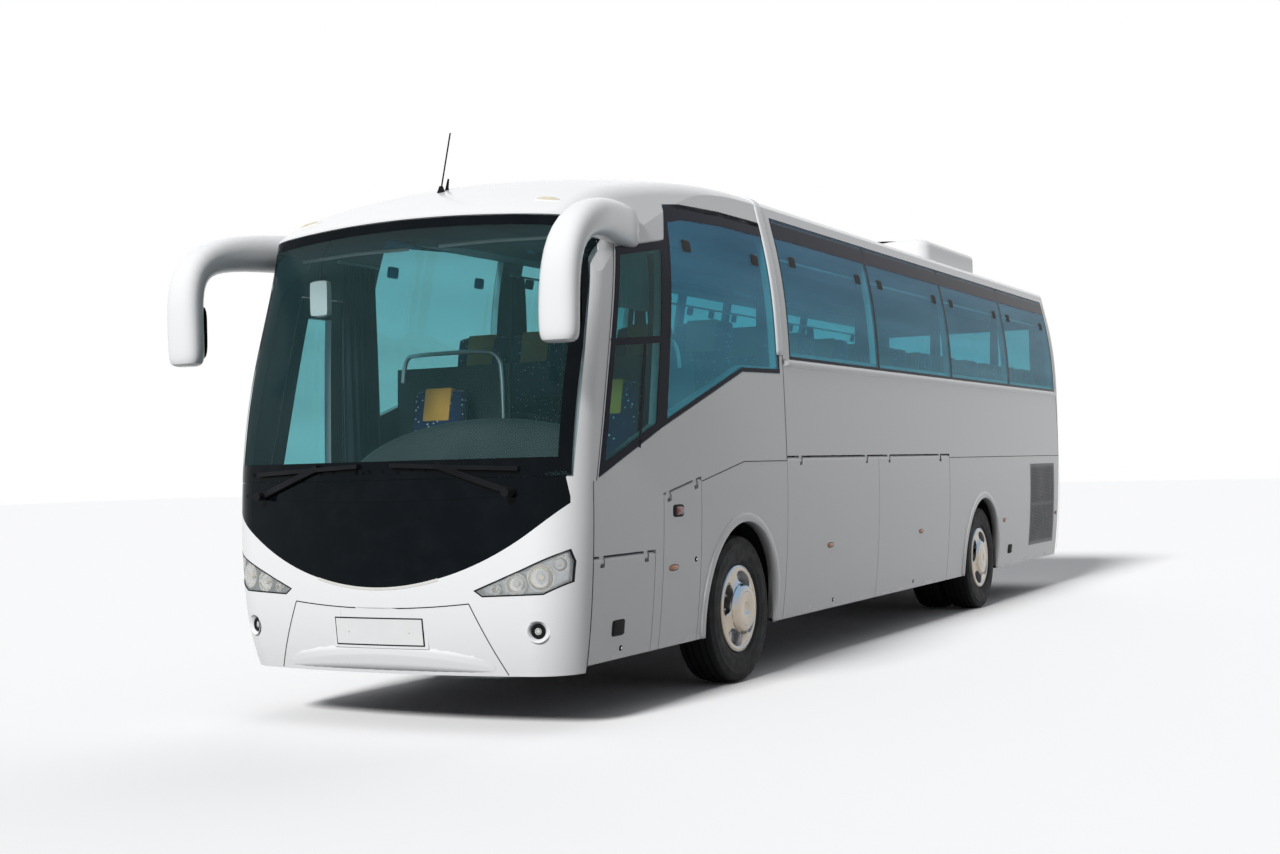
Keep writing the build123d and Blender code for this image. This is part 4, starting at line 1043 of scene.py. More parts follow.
# Headlamps: bowls, housing and lens inside the outline cut in the front cap; fog lamps below
LAMP = [(0.667, 0.838), (0.720, 0.800), (1.090, 0.812), (1.225, 0.880), (1.236, 1.000), (1.221, 1.074),
        (0.960, 0.958)]
LAMP_LOW = [(0.669, 0.837), (0.720, 0.802), (0.905, 0.807), (1.090, 0.814), (1.222, 0.882), (1.232, 0.96)]
LAMP_HIGH = [(0.671, 0.839), (0.760, 0.876), (0.870, 0.921), (0.960, 0.956), (1.130, 1.032), (1.219, 1.071)]
LAMP_REAR = 5.80
BOWL = [(0.006, -0.062), (0.02, -0.060), (0.036, -0.052), (0.05, -0.036), (0.058, -0.016), (0.061, 0.0),
        (0.064, 0.001), (0.064, -0.004)]
BULB = [(0.0, 0.0), (0.012, -0.002), (0.016, -0.010), (0.014, -0.03), (0.0, -0.031)]
BOWLS = ((0.925, 0.874, 1.0), (1.072, 0.910, 1.22), (1.170, 0.985, 0.70), (0.80, 0.842, 0.45))
FOG_LEFT, FOG_HEIGHT, FOG_TURN = 1.043, 0.598, 22
FOG_COLLAR = [(0.0655, 0.002), (0.062, 0.001), (0.055, -0.006), (0.047, -0.017), (0.043, -0.024), (0.042, -0.04)]
FOG_BEZEL = [(0.0425, -0.05), (0.0425, -0.018), (0.040, -0.011), (0.030, -0.010), (0.021, -0.016), (0.019, -0.05)]
FOG_BOWL = [(0.0, -0.034), (0.008, -0.033), (0.015, -0.028), (0.020, -0.020)]
FOG_LENS = [(0.0, -0.0135), (0.010, -0.014), (0.017, -0.0155), (0.0205, -0.018)]


def lamp_surface(side, lift):
    """Maker of points on the headlamp's face, which stops at the corner of the body."""
    return lambda left, height: Vector((max(nose(side * left, height), LAMP_REAR) + lift, side * left, height))


for side, place in SIDES:
    sheet = patch(LAMP_LOW, LAMP_HIGH, lamp_surface(side, -0.001), 10, 0.03)
    glass = skin(place + "_headlamp_lens", sheet, FORWARD, LENS)
    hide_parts("front_lamps")
    sheet = patch(LAMP_LOW, LAMP_HIGH, lamp_surface(side, -0.05), 10, 0.03)
    skin(place + "_headlamp_pan", sheet, FORWARD, STEEL, slot="bright_wheel")
    rim = border(LAMP, 0.008, lamp_surface(side, 0.0012), 0.03)
    skin(place + "_headlamp_rim", rim, FORWARD, TRIM, thick=0.002, smooth=False)
    bowls, bulbs = [], []
    for left, height, size in BOWLS:
        outer, inner = nose(side * (left + 0.03), height), nose(side * (left - 0.03), height)
        aim = Matrix.Rotation(side * atan2(inner - outer, 0.06), 4, "Z") @ rotation(-90, "Z")
        x = nose(side * left, height) - 0.016
        bowl = spun([(r * size, a * 0.62) for r, a in BOWL], 40)
        bowls.append(turned(bowl, move((x, side * left, height)) @ aim))
        bulb = spun([(r * size, a) for r, a in BULB], 20)
        bulbs.append(turned(bulb, move((x - 0.006, side * left, height)) @ aim))
    skin(place + "_headlamp_bowls", merged(bowls), FORWARD, CHROME, "body", 0.0015)
    piece(place + "_headlamp_bulbs", *merged(bulbs), PALE)
    left = side * FOG_LEFT
    lean = move((nose(left, FOG_HEIGHT), left, FOG_HEIGHT)) @ rotation(side * FOG_TURN, "Z") @ rotation(-90, "Z")
    skin(place + "_fog_collar", turned(spun(FOG_COLLAR, 48), lean), FORWARD, SHELL, "body", 0.002)
    piece(place + "_fog_bezel", *turned(spun(FOG_BEZEL, 40), lean), TRIM)
    skin(place + "_fog_bowl", turned(spun(FOG_BOWL, 40), lean), FORWARD, CHROME, "body", 0.002)
    skin(place + "_fog_lens", turned(spun(FOG_LENS, 40), lean), FORWARD, LENS, "body", 0.002)


# Small lamps, vents and locks on the flanks
def pad(length, height, rise, count=12, power=3.0):
    """Low rounded pad in the XZ plane with its crown towards Y, as rings from the middle out."""
    rows = []
    for ring in range(7):
        share = ring / 6
        lift = rise * (1 - share ** 3) if ring < 6 else -0.001
        row = []
        for angle in evenly(0, 2 * pi, 4 * count):
            u, v = squircle(angle, power)
            row.append(Vector((length / 2 * share * u, lift, height / 2 * share * v)))
        rows.append(row)
    return grid(rows)


def on_flank(part, side, ahead, height, lift=0.0):
    """Part moved on to a flank, crown outwards."""
    lean = (flank(height + 0.05) - flank(height - 0.05)) / 0.1
    place = Vector((AXLE + ahead, side * (flank(height) + lift), height))
    tilt = Matrix.Rotation(side * atan2(lean, 1) * -1, 4, "X")
    flip = Matrix.Scale(side, 4, (0, 1, 0))
    return turned(part, move(place) @ tilt @ flip)


MARKERS = {1: [(1.139, 0.882, "locker_door"), (-1.709, 0.881, "left_luggage_door_front"),
               (-4.06, 0.886, "left_luggage_door_rear"), (-6.983, 0.876, "body"), (-9.30, 0.876, "body")],
           -1: [(1.139, 0.882, "body"), (-1.709, 0.881, "right_luggage_door_front"),
                (-3.60, 0.886, "right_luggage_door_rear"), (-6.983, 0.876, "body"), (-9.30, 0.876, "body")]}
VENTS = {1: [("front", 1.875, 0.564, "service_flap"), ("rear", -7.257, 0.551, "body")],
         -1: [("rear", -7.257, 0.551, "body")]}
TURN_LAMP_HEIGHT = 1.249
slat = cuboid((-0.070, 0, -0.003), (0.070, 0.006, 0.003), 0.0012)
for side, place in SIDES:
    for index, (ahead, height, body) in enumerate(MARKERS[side]):
        lamp = on_flank(pad(0.135, 0.036, 0.013, 10, 2.4), side, ahead, height, 0.002)
        piece(f"{place}_marker_{index}", *lamp, RED if ahead < -9 else AMBER, body)
        base = on_flank(pad(0.145, 0.043, 0.003, 10, 2.6), side, ahead, height, 0.001)
        piece(f"{place}_marker_base_{index}", *base, TRIM, body)
    body = "locker_door" if side > 0 else "body"
    base = on_flank(pad(0.165, 0.082, 0.006, 10, 5.0), side, 1.086, TURN_LAMP_HEIGHT, 0.001)
    piece(place + "_turn_lamp_base", *base, TRIM, body)
    lamp = on_flank(pad(0.115, 0.058, 0.014, 10, 5.0), side, 1.074, TURN_LAMP_HEIGHT, 0.003)
    piece(place + "_turn_lamp", *lamp, RED if side > 0 else AMBER, body)
    for end, ahead, height, body in VENTS[side]:
        base = on_flank(pad(0.165, 0.100, 0.004, 10, 8.0), side, ahead, height, 0.001)
        piece(f"{place}_vent_{end}", *base, TRIM, body)
        slats = [on_flank(slat, side, ahead, height - 0.035 + 0.014 * k, 0.004) for k in range(6)]
        piece(f"{place}_vent_slats_{end}", *merged(slats), RUBBER, body)

LOCKS = {"locker_door": (1, 0.809, 0.918), "left_luggage_door_front": (1, -1.84, 0.435),
         "left_luggage_door_rear": (1, -3.91, 0.435), "right_luggage_door_front": (-1, -1.84, 0.435),
         "right_luggage_door_rear": (-1, -3.46, 0.435), "service_flap": (1, 1.82, 0.435)}
for body, spot in LOCKS.items():
    piece(body + "_lock", *on_flank(pad(0.042, 0.036, 0.005, 8, 2.2), *spot, 0.001), TRIM, body)
    piece(body + "_lock_barrel", *on_flank(pad(0.014, 0.018, 0.003, 6, 2.0), *spot, 0.005), CHROME, body)

# Rolled lips round the wheel arches
ARCH = 0.618
LIP = ((-0.004, -0.058), (-0.005, 0.004), (-0.003, 0.011), (0.003, 0.014), (0.026, 0.014), (0.046, 0.013),
       (0.053, 0.010), (0.057, 0.004), (0.058, -0.001))
arch_foot = atan2(SKIRT - HUB, sqrt(ARCH ** 2 - (HUB - SKIRT) ** 2))
for side, place in SIDES:
    lips = []
    for axle in (0.0, REAR_AXLE):
        rows = []
        for angle in evenly(arch_foot, pi - arch_foot, 72):
            row = []
            for out, lift in LIP:
                height = HUB + (ARCH + out) * sin(angle)
                x = AXLE + axle + (ARCH + out) * cos(angle)
                row.append(Vector((x, side * (flank(height) + lift), max(SKIRT, height))))
            rows.append(row)
        lips.append(grid(rows))
    skin(place + "_arch_lips", merged(lips), (0, side, 0), SHELL)

# Tyres: ribbed tread, ringed walls and shoulder lugs
WHEEL_PLANE, INNER_PLANE = 1.0745, 0.7395
TREAD_HALF, GROOVE_HALF, GROOVE_DEPTH = 0.1255, 0.0075, 0.013
GROOVES = (-0.078, -0.027, 0.027, 0.078)
SHOULDER = (0.5065, 0.1275)
CORNERS = [("left_front", 1, 0.0, [WHEEL_PLANE]), ("right_front", -1, 0.0, [WHEEL_PLANE]),
           ("left_rear", 1, REAR_AXLE, [WHEEL_PLANE, INNER_PLANE]),
           ("right_rear", -1, REAR_AXLE, [WHEEL_PLANE, INNER_PLANE])]
TYRE_WALL = [(0.2865, 0.1150), (0.306, 0.1155), (0.318, 0.1245), (0.332, 0.1325), (0.338, 0.1362), (0.343, 0.1382),
             (0.349, 0.1385), (0.354, 0.1378), (0.375, 0.1440), (0.402, 0.1472), (0.430, 0.1466), (0.452, 0.1442),
             (0.456, 0.1455), (0.462, 0.1450), (0.466, 0.1424), (0.485, 0.1372), (0.498, 0.1325), (0.505, 0.1290)]


def tread_radius(across):
    return HUB - 0.014 * (across / TREAD_HALF) ** 2


def tyre_profile():
    """Closed outline of a tyre with four grooves in its tread, as (radius, across) points."""
    edges = [-TREAD_HALF]
    for groove in GROOVES:
        edges += [groove - GROOVE_HALF, groove + GROOVE_HALF]
    edges.append(TREAD_HALF)
    tread = []
    for low, high in zip(edges[::2], edges[1::2]):
        middle = (low + high) / 2
        tread += [(tread_radius(low) - GROOVE_DEPTH, low + 0.001), (tread_radius(low), low)]
        tread += [(tread_radius(middle), middle)]
        tread += [(tread_radius(high), high), (tread_radius(high) - GROOVE_DEPTH, high - 0.001)]
    tread[0] = (SHOULDER[0], -SHOULDER[1])
    tread[-1] = SHOULDER
    outline = [(r, -a) for r, a in TYRE_WALL] + tread + TYRE_WALL[::-1]
    return outline + outline[:1]


lug = cuboid((-0.006, -0.0085, -0.014), (0.0035, 0.0085, 0.014), 0.0015, 1)
for body, side, axle, planes in CORNERS:
    name = body + ("_tyre" if axle == 0 else "_tyres")
    shapes = [spun(tyre_profile(), 120, (AXLE + axle, side * plane, HUB)) for plane in planes]
    shown = piece(name + "_shown", *merged(shapes), TYRES[axle], body)
    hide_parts(name)
    for number, plane in enumerate(planes):
        for edge in (-1, 1):
            where = "outer" if edge * side > 0 else "inner"
            repeated(f"{name}_lugs_{number}_{where}", RING, lug, body, None, False, Count=72, Radius=0.502,
                     Centre=(AXLE + axle, side * plane + edge * 0.118, HUB), Finish=TYRES[axle])

# Wheels: rim, pierced cover, trim ring and nuts
RIM_EDGE = [(0.303, 1.204), (0.303, 1.191), (0.286, 1.191), (0.286, 0.958), (0.303, 0.958), (0.303, 0.945)]
FRONT_RIM = [*RIM_EDGE, (0.272, 0.945), (0.272, 1.130), (0.200, 1.150), (0.095, 1.140), (0.095, 1.015),
             (0.0453, 1.015), (0.0453, 1.203), (0.0, 1.203), (0.0, 1.215), (0.085, 1.215), (0.095, 1.172),
             (0.160, 1.166), (0.230, 1.158), (0.262, 1.148), (0.268, 1.170), (0.276, 1.200), RIM_EDGE[0]]
REAR_RIM = [*RIM_EDGE, (0.278, 0.945), (0.278, 0.869), (0.303, 0.869), (0.303, 0.856), (0.286, 0.856),
            (0.286, 0.623), (0.303, 0.623), (0.303, 0.610), (0.272, 0.610), (0.272, 0.895), (0.115, 0.895),
            (0.115, 0.6795), (0.0453, 0.6795), (0.0453, 1.0795), (0.0, 1.0795), (0.0, 1.170), (0.10, 1.170),
            (0.110, 1.0), (0.200, 0.945), (0.232, 0.921), (0.268, 0.937), (0.268, 1.170), (0.276, 1.200),
            RIM_EDGE[0]]
COVER = [(0.0, 1.2490), (0.018, 1.2492), (0.032, 1.2520), (0.041, 1.2580), (0.045, 1.2628), (0.049, 1.2640),
         (0.117, 1.2640), (0.1205, 1.2610), (0.124, 1.2640), (0.148, 1.2630), (0.157, 1.2590), (0.163, 1.2520),
         (0.168, 1.2420), (0.173, 1.2320), (0.180, 1.2240), (0.192, 1.2170), (0.210, 1.2110), (0.235, 1.2065),
         (0.272, 1.2050)]
COVER_FOOT, DRUM, SLOT_LOW, SLOT_HIGH = 1.205, 0.180, 0.173, 0.272
TRIM_RING = [(0.270, 1.1990), (0.272, 1.2050), (0.280, 1.2090), (0.290, 1.2085), (0.299, 1.2060), (0.3045, 1.2000),
             (0.301, 1.1945)]


def cover_height(radius, flat):
    """How far out the wheel cover stands at a radius; flat lowers its dome."""
    for (r1, h1), (r2, h2) in zip(COVER, COVER[1:]):
        if radius <= r2:
            return COVER_FOOT + (h1 + (h2 - h1) * (radius - r1) / (r2 - r1) - COVER_FOOT) * flat
    return COVER_FOOT


def pierced_cover(centre, side, flat):
    """Drum-shaped cover with four openings between its arms."""
    parts = [spun([(r, side * cover_height(r, flat)) for r, h in COVER if r <= DRUM], 120, centre)]
    for arm in range(4):
        middle = pi / 2 * arm + radians(22)
        rows = []
        for k in range(72):
            turn = 2 * pi * k / 72
            c, s = cos(turn), sin(turn)
            reach = 1 / max(abs(c), abs(s))
            oval_u, oval_v = squircle(turn, 3.2)
            row = []
            for share in evenly(0, 1, 5):
                u = pi / 4 * (oval_u * 0.62 * (1 - share) + c * reach * share)
                v = oval_v * 0.90 * (1 - share) + s * reach * share
                half = (SLOT_HIGH - SLOT_LOW) / 2 - 0.0012 * share
                radius = (SLOT_LOW + SLOT_HIGH) / 2 + 0.0012 + v * half
                radius = min(max(radius, SLOT_LOW), SLOT_HIGH)
                x, z = centre[0] + radius * cos(middle + u), centre[2] + radius * sin(middle + u)
                row.append(Vector((x, side * cover_height(radius, flat), z)))
            rows.append(row)
        parts.append(grid(rows, True))
    return merged(parts)


nut = spun([(0.0, 0.0), (0.013, 0.0), (0.013, 0.016), (0.009, 0.021), (0.0, 0.022)], 6)
nut = turned(nut, rotation(90, "X"))
for body, side, axle, planes in CORNERS:
    centre = (AXLE + axle, 0.0, HUB)
    out = (0, side, 0)
    front = axle == 0
    name = body + ("_wheel" if front else "_wheels")
    profile = [(r, side * a) for r, a in (FRONT_RIM if front else REAR_RIM)]
    rim = piece(name + "_rim", *spun(profile, 96, centre), STEEL, body, "bright_wheel")
    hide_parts(name)
    skin(name + "_cover", pierced_cover(centre, side, 1.0 if front else 0.55), out, COVER_METAL, body)
    ring = spun([(r, side * a) for r, a in TRIM_RING], 120, centre)
    skin(name + "_trim_ring", ring, out, COVER_METAL, body, 0.002)
    repeated(name + "_nuts", RING, nut, body, "bright_wheel", False, Count=10, Radius=0.1675,
             Centre=(AXLE + axle, side * (1.180 if front else 0.985), HUB), Finish=STEEL)

# Mirrors: smooth shells along the arm, with their glass; each row is a place and two half widths
MIRROR_PATH = [(1.405, 1.172, 3.045, 0.012, 0.085), (1.42, 1.182, 3.045, 0.034, 0.118),
               (1.60, 1.215, 3.047, 0.062, 0.132), (1.85, 1.258, 3.042, 0.082, 0.130),
               (2.10, 1.312, 3.030, 0.090, 0.124), (2.33, 1.362, 3.005, 0.096, 0.114),
               (2.52, 1.386, 2.955, 0.101, 0.105), (2.65, 1.388, 2.868, 0.106, 0.098),
               (2.718, 1.382, 2.755, 0.112, 0.092), (2.742, 1.374, 2.62, 0.117, 0.087),
               (2.746, 1.368, 2.48, 0.120, 0.084), (2.746, 1.366, 2.36, 0.120, 0.083),
               (2.745, 1.365, 2.29, 0.116, 0.080), (2.745, 1.365, 2.258, 0.104, 0.070),
               (2.745, 1.365, 2.244, 0.070, 0.046)]
MIRROR_LEFT, MIRROR_HEIGHT = 1.366, 2.465


def oval_ring(centre, first, second, a, b, power=2.6, count=40):
    """Closed rounded ring with half widths a and b along two directions."""
    ring = []
    for k in range(count):
        u, v = squircle(2 * pi * k / count, power)
        ring.append(centre + first * (a * u) + second * (b * v))
    return ring + ring[:1]


for side, place in SIDES:
    path = [Vector((AXLE + ahead, side * left, height)) for ahead, left, height, *_ in MIRROR_PATH]
    rows = []
    for i, here in enumerate(path):
        run = (path[min(i + 1, len(path) - 1)] - path[max(i - 1, 0)]).normalized()
        lateral = Vector((0, 1, 0))
        lateral = (lateral - run * lateral.dot(run)).normalized()
        rows.append(oval_ring(here, lateral, run.cross(lateral), *MIRROR_PATH[i][3:]))
    vertices, quads = grid(rows)
    width = len(rows[0])
    quads += [tuple(range(width - 1)), tuple(len(vertices) - width + k for k in range(width - 1))]
    shown = piece(place + "_mirror_shell", vertices, quads, SHELL)
    smooth = shown.modifiers.new("smooth", "SUBSURF")
    smooth.levels = smooth.render_levels = 1
    if side > 0:
        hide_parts("mirrors")
    for label, size, ahead, material in (("glass", (0.196, 0.33, 0.002), 2.6605, MIRROR),
                                         ("frame", (0.212, 0.348, 0.006), 2.667, TRIM)):
        face = facing_back(pad(*size, 14, 5.0), AXLE + ahead, side * MIRROR_LEFT, MIRROR_HEIGHT)
        piece(f"{place}_mirror_{label}", *face, material)


def on_roof(part, point, normal):
    """Part moved to a point with its crown along the normal and its length across the body."""
    normal = normal.normalized()
    first = (Vector((0, 1, 0)) - normal * normal.y).normalized()
    basis = Matrix((first, normal, first.cross(normal))).transposed().to_4x4()
    return turned(part, move(point) @ basis)


# Roof markers, aerial stub, roof unit louvres and fans
for side, place in SIDES:
    hit, normal = shell.ray_cast(Vector((AXLE + 2.055, side * 0.913, 6)), Vector((0, 0, -1)))[:2]
    piece(place + "_roof_marker_base", *on_roof(pad(0.20, 0.062, 0.008, 10, 3.5), hit, normal), SHELL)
    lamp = on_roof(pad(0.16, 0.040, 0.014, 10, 3.0), hit + normal * 0.004, normal)
    piece(place + "_roof_marker", *lamp, PALE)
AERIAL = AXLE + 1.79
stub_foot = top(AERIAL, 0)
stub = [(AERIAL - slant, 0, stub_foot + rise) for slant, rise in ((0, -0.004), (0.004, 0.02), (0.02, 0.075))]
piece("aerial_stub", *tube(stub, [0.014, 0.010, 0.006]), TRIM)
unit_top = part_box("air_conditioner")[1].z
slat = cuboid((-0.010, -0.62, 0.0), (0.010, 0.62, 0.012), 0.004)
in_row("roof_unit_louvres", slat, 14, (AXLE - 7.05, 0, unit_top - 0.002), (0.036, 0, 0), TRIM)
guard = [spun([(r, -0.004), (r + 0.006, 0.0), (r, 0.004), (r - 0.006, 0.0)], 48)
         for r in (0.06, 0.11, 0.16, 0.21, 0.255)]
guard += [cuboid((-0.255, -0.003, -0.006), (0.255, 0.003, 0.006), 0.001),
          cuboid((-0.006, -0.003, -0.255), (0.006, 0.003, 0.255), 0.001)]
guard = turned(merged(guard), rotation(90, "X"))
well = turned(spun([(0.0, 0.0), (0.262, 0.0), (0.268, 0.003), (0.274, 0.0)], 48), rotation(90, "X"))
for side, place in SIDES:
    for label, part, lift, material in (("fans", guard, 0.003, TRIM), ("fan_wells", well, 0.0006, RUBBER)):
        start = (AXLE - 6.28, side * 0.40, unit_top + lift)
        in_row(f"{place}_roof_{label}", part, 2, start, (0.56, 0, 0), material)

# Rear end: lamp units, lid louvres, plate, window border
TAIL_LAMPS = ((1.09, PALE), (1.29, AMBER), (1.50, RED))
TAIL_LEFT, PLATE_HEIGHT, BRAKE_LAMP_HEIGHT = 1.067, 0.70, 3.27
rear_outline = span(-0.96, 0.96, 2.36, 3.18)
lay("rear_window_border", [border(rear_outline, 0.06, on_tail(LIFT), 0.08)], (-1, 0, 0), BLACK)
for side, place in SIDES:
    for index, (height, colour) in enumerate(TAIL_LAMPS):
        left = side * TAIL_LEFT
        x = back(left, height)
        ring = facing_back(pad(0.15, 0.15, 0.006, 10, 2.0), x - 0.001, left, height)
        piece(f"{place}_tail_ring_{index}", *ring, CHROME)
        dome = facing_back(pad(0.128, 0.128, 0.022, 10, 2.0), x - 0.004, left, height)
        piece(f"{place}_tail_lens_{index}", *dome, colour, "body", "red_lens")
    strip = facing_back(pad(0.16, 0.04, 0.006, 8, 5.0), back(side * 1.0, 0.50) - 0.001, side * 0.98, 0.50)
    piece(place + "_rear_reflector", *strip, RED)
low_x, high_x = back(0.5, 0.80), back(0.5, 1.32)
louvre = cuboid((-0.012, -0.62, -0.010), (0.004, 0.62, 0.010), 0.004)
louvre_step = ((high_x - low_x) / 11 * 0.92, 0, 0.042)
in_row("engine_lid_louvres", louvre, 11, (low_x, 0, 0.86), louvre_step, GRILLE, "engine_lid")
lean = atan2(back(0.3, 0.76) - back(0.3, 0.64), 0.12)
plate_place = move((back(0.3, PLATE_HEIGHT) - 0.001, 0, PLATE_HEIGHT)) @ Matrix.Rotation(lean, 4, "Y")
plate = turned(cuboid((-0.004, -0.26, -0.055), (0.0, 0.26, 0.055), 0.0015), plate_place)
piece("rear_plate", *plate, PLATE, "engine_lid")
x = back(0.0, BRAKE_LAMP_HEIGHT)
piece("high_brake_lamp", *facing_back(pad(0.36, 0.05, 0.010, 10, 5.0), x - 0.001, 0, BRAKE_LAMP_HEIGHT), RED)

# Seats: crowned cushions and backs with sewn channels, ochre covers, arm rests and legs
FLOOR, CAB_FLOOR = 1.450, 1.000
SEAT_PITCH, FIRST_ROW, ROWS = 0.790, 0.220, 12
SEAT_CENTRES = {"aisle": 0.453, "window": 0.937}
WELL_REAR, WELL_FRONT = -4.936, -4.086
ROUNDING = 5.0


def cushion(size, crown, pull, cells=(14, 14, 4), channels=()):
    """Stuffed block: rounded box whose sides pull in between its corners and whose broad faces are crowned."""
    half = [s / 2 for s in size]
    shape = bmesh.new()
    bmesh.ops.create_cube(shape, size=2.0)
    for axis, count in enumerate(cells):
        edges = [e for e in shape.edges if abs((e.verts[0].co - e.verts[1].co)[axis]) > 0.5]
        bmesh.ops.subdivide_edges(shape, edges=edges, cuts=count - 1, use_grid_fill=True)
        bmesh.ops.remove_doubles(shape, verts=shape.verts, dist=1e-6)
    for vertex in shape.verts:
        length = sum(abs(c) ** ROUNDING for c in vertex.co) ** (1 / ROUNDING)
        u, v, w = (c / length * (0.55 + 0.45 * length) for c in vertex.co)
        swell = (1 - u * u) * (1 - v * v)
        stitch = sum(depth * max(0.0, 1 - abs(u - place) / 0.09) ** 2 for place, depth in channels)
        vertex.co = (u * half[0] - u * pull * (1 - v * v), v * half[1] - v * pull * (1 - u * u),
                     w * (half[2] + crown * swell) - (stitch if w > 0.3 else 0.0))
    return lists_of(shape)


def seat_parts(width):
    """Cushion, back, cover and frame of one place, at the origin on the floor."""
    base = cushion((0.49, width, 0.125), 0.016, 0.012, (14, 12, 4), ((-0.35, 0.008), (0.45, 0.006)))
    base = turned(base, move((0.005, 0, 0.430)) @ rotation(-3, "Y"))
    lean = rotation(-12, "Y") @ rotation(90, "Y")
    sewn = ((-0.30, 0.006), (0.20, 0.006), (0.62, 0.006))
    rest = cushion((0.69, width, 0.098), 0.012, 0.012, (16, 12, 4), sewn)
    rest = turned(rest, move((-0.268, 0, 0.795)) @ lean)
    cover = cushion((0.265, width * 0.56, 0.122), 0.010, 0.006, (8, 8, 4))
    cover = turned(cover, move((-0.312, 0, 1.01)) @ lean)
    half = width / 2 - 0.02
    legs = [cuboid((-0.16, -0.02, 0.002), (0.16, 0.02, 0.04), 0.006),
            cuboid((-0.03, -0.025, 0.03), (0.03, 0.025, 0.36), 0.006),
            cuboid((-0.20, -half, 0.345), (0.20, half, 0.372), 0.006)]
    return merged([base, rest]), cover, merged(legs)


pads, cover, legs = seat_parts(0.462)
arm = cuboid((-0.20, -0.022, 0.60), (0.10, 0.022, 0.640), 0.012)
seat_rows = [FIRST_ROW - row * SEAT_PITCH for row in range(ROWS)]
behind = [row for row in seat_rows if row <= WELL_REAR - 0.260]
ahead_of = [row for row in seat_rows if row >= WELL_FRONT + 0.420]
for side, place in SIDES:
    for number, run in enumerate([seat_rows] if side > 0 else [ahead_of, behind]):
        step = (-SEAT_PITCH, 0, 0)
        for label, across in SEAT_CENTRES.items():
            name = f"{place}_seats_{number}_{label}"
            where = (len(run), (AXLE + run[0], side * across, FLOOR), step)
            shown = in_row(name, pads, *where, CLOTH)
            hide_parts("saloon_seats")
            in_row(name + "_covers", cover, *where, OCHRE)
            in_row(name + "_legs", legs, *where, TRIM)
        start = (AXLE + run[0], side * 0.222, FLOOR)
        in_row(f"{place}_arm_rests_{number}", arm, len(run), start, step, TRIM)

for name, width, ahead, left in (("driver_seat", 0.49, 1.130, 0.640), ("guide_seat", 0.44, 1.15, -0.72)):
    pads, cover, legs = seat_parts(width)
    stand = move((AXLE + ahead, left, CAB_FLOOR))
    shown = piece(name + "_pads", *turned(pads, stand), CLOTH)
    if name == "driver_seat":
        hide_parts(name)
    piece(name + "_cover", *turned(cover, stand), OCHRE)
    pedestal = cuboid((-0.15, -0.14, 0.004), (0.15, 0.14, 0.34), 0.03)
    piece(name + "_base", *turned(merged([legs, pedestal]), stand), TRIM)

# Dashboard hood with its instruments
HOOD_REAR, HOOD_FOOT = 1.862, 1.36
hood = []
for left in evenly(-0.46, 1.16, 44):
    peak = 1.61 + 0.25 * max(0.0, 1 - ((left - 0.50) / 0.92) ** 2) ** 0.7
    reach = 2.415 - 0.10 * (left / 1.05) ** 2
    row = []
    for share in evenly(0, 1, 18):
        rise = max(0.0, 1 - abs(2 * share - 1) ** 2.6) ** 0.8
        x = AXLE + HOOD_REAR + (reach - HOOD_REAR) * share
        row.append(Vector((x, left, HOOD_FOOT + (peak - HOOD_FOOT) * rise)))
    hood.append(row)
skin("dash_hood", grid(hood), (0, 0, 1), DASH, "body", 0.006)
dial = spun([(0.0, 0.0), (0.05, 0.0), (0.052, 0.004), (0.058, 0.004), (0.060, -0.003)], 32)
dial = turned(dial, rotation(90, "Z"))
in_row("dash_dials", dial, 3, (AXLE + 1.874, 0.50, 1.455), (0, 0.14, 0), CHROME)
piece("dash_screen", *cuboid((AXLE + 1.93, 0.16, 1.56), (AXLE + 1.955, 0.36, 1.69), 0.008), BLACK)
piece("ticket_unit", *cuboid((AXLE + 2.06, 0.98, 1.50), (AXLE + 2.16, 1.10, 1.66), 0.015), LINING)

# Toe board closing the space ahead of the dashboard
board = []
for left in evenly(-1.04, 1.04, 32):
    front = nose(left, 1.30) - 0.08
    board.append([Vector((x, left, 1.02)) for x in evenly(AXLE + 1.90, front, 4)])
skin("toe_board", grid(board), (0, 0, 1), UNDER, "body", 0.004)

# Rails, sun blind rods, interior mirror
RAIL_ROUTE = [(0.27, FLOOR), (0.27, 2.20), (0.30, 2.38), (0.48, 2.40), (1.00, 2.40), (1.12, 2.38), (1.13, 2.2)]
ROD_ROUTE = [(1.985, 1.02, 2.96), (2.07, 0.55, 2.965), (2.07, 0.12, 2.965)]
STEM_ROUTE = [(1.90, 3.09), (1.99, 3.0), (2.02, 2.86), (2.02, 2.80)]
STEM_LEFT, INSIDE_MIRROR = -0.86, 2.70
for side, place in SIDES:
    rail = smooth_path([(AXLE + 0.72, side * left, height) for left, height in RAIL_ROUTE])
    piece(place + "_grab_rail", *tube(rail, 0.0165, 14), STEEL)
    rod = [(AXLE + ahead, side * left, height) for ahead, left, height in ROD_ROUTE]
    piece(place + "_blind_rod", *tube(rod, 0.012, 10), SHELL)
stem = smooth_path([(AXLE + ahead, STEM_LEFT, height) for ahead, height in STEM_ROUTE])
piece("inside_mirror_stem", *tube(stem, 0.010, 10), TRIM)
mirror_shell = cushion((0.055, 0.15, 0.24), 0.0, 0.006, (4, 8, 10))
piece("inside_mirror_shell", *turned(mirror_shell, move((AXLE + 2.02, STEM_LEFT, INSIDE_MIRROR))), SHELL)
face = facing_back(pad(0.125, 0.21, 0.001, 10, 5.0), AXLE + 1.9915, STEM_LEFT, INSIDE_MIRROR)
piece("inside_mirror_face", *face, MIRROR)


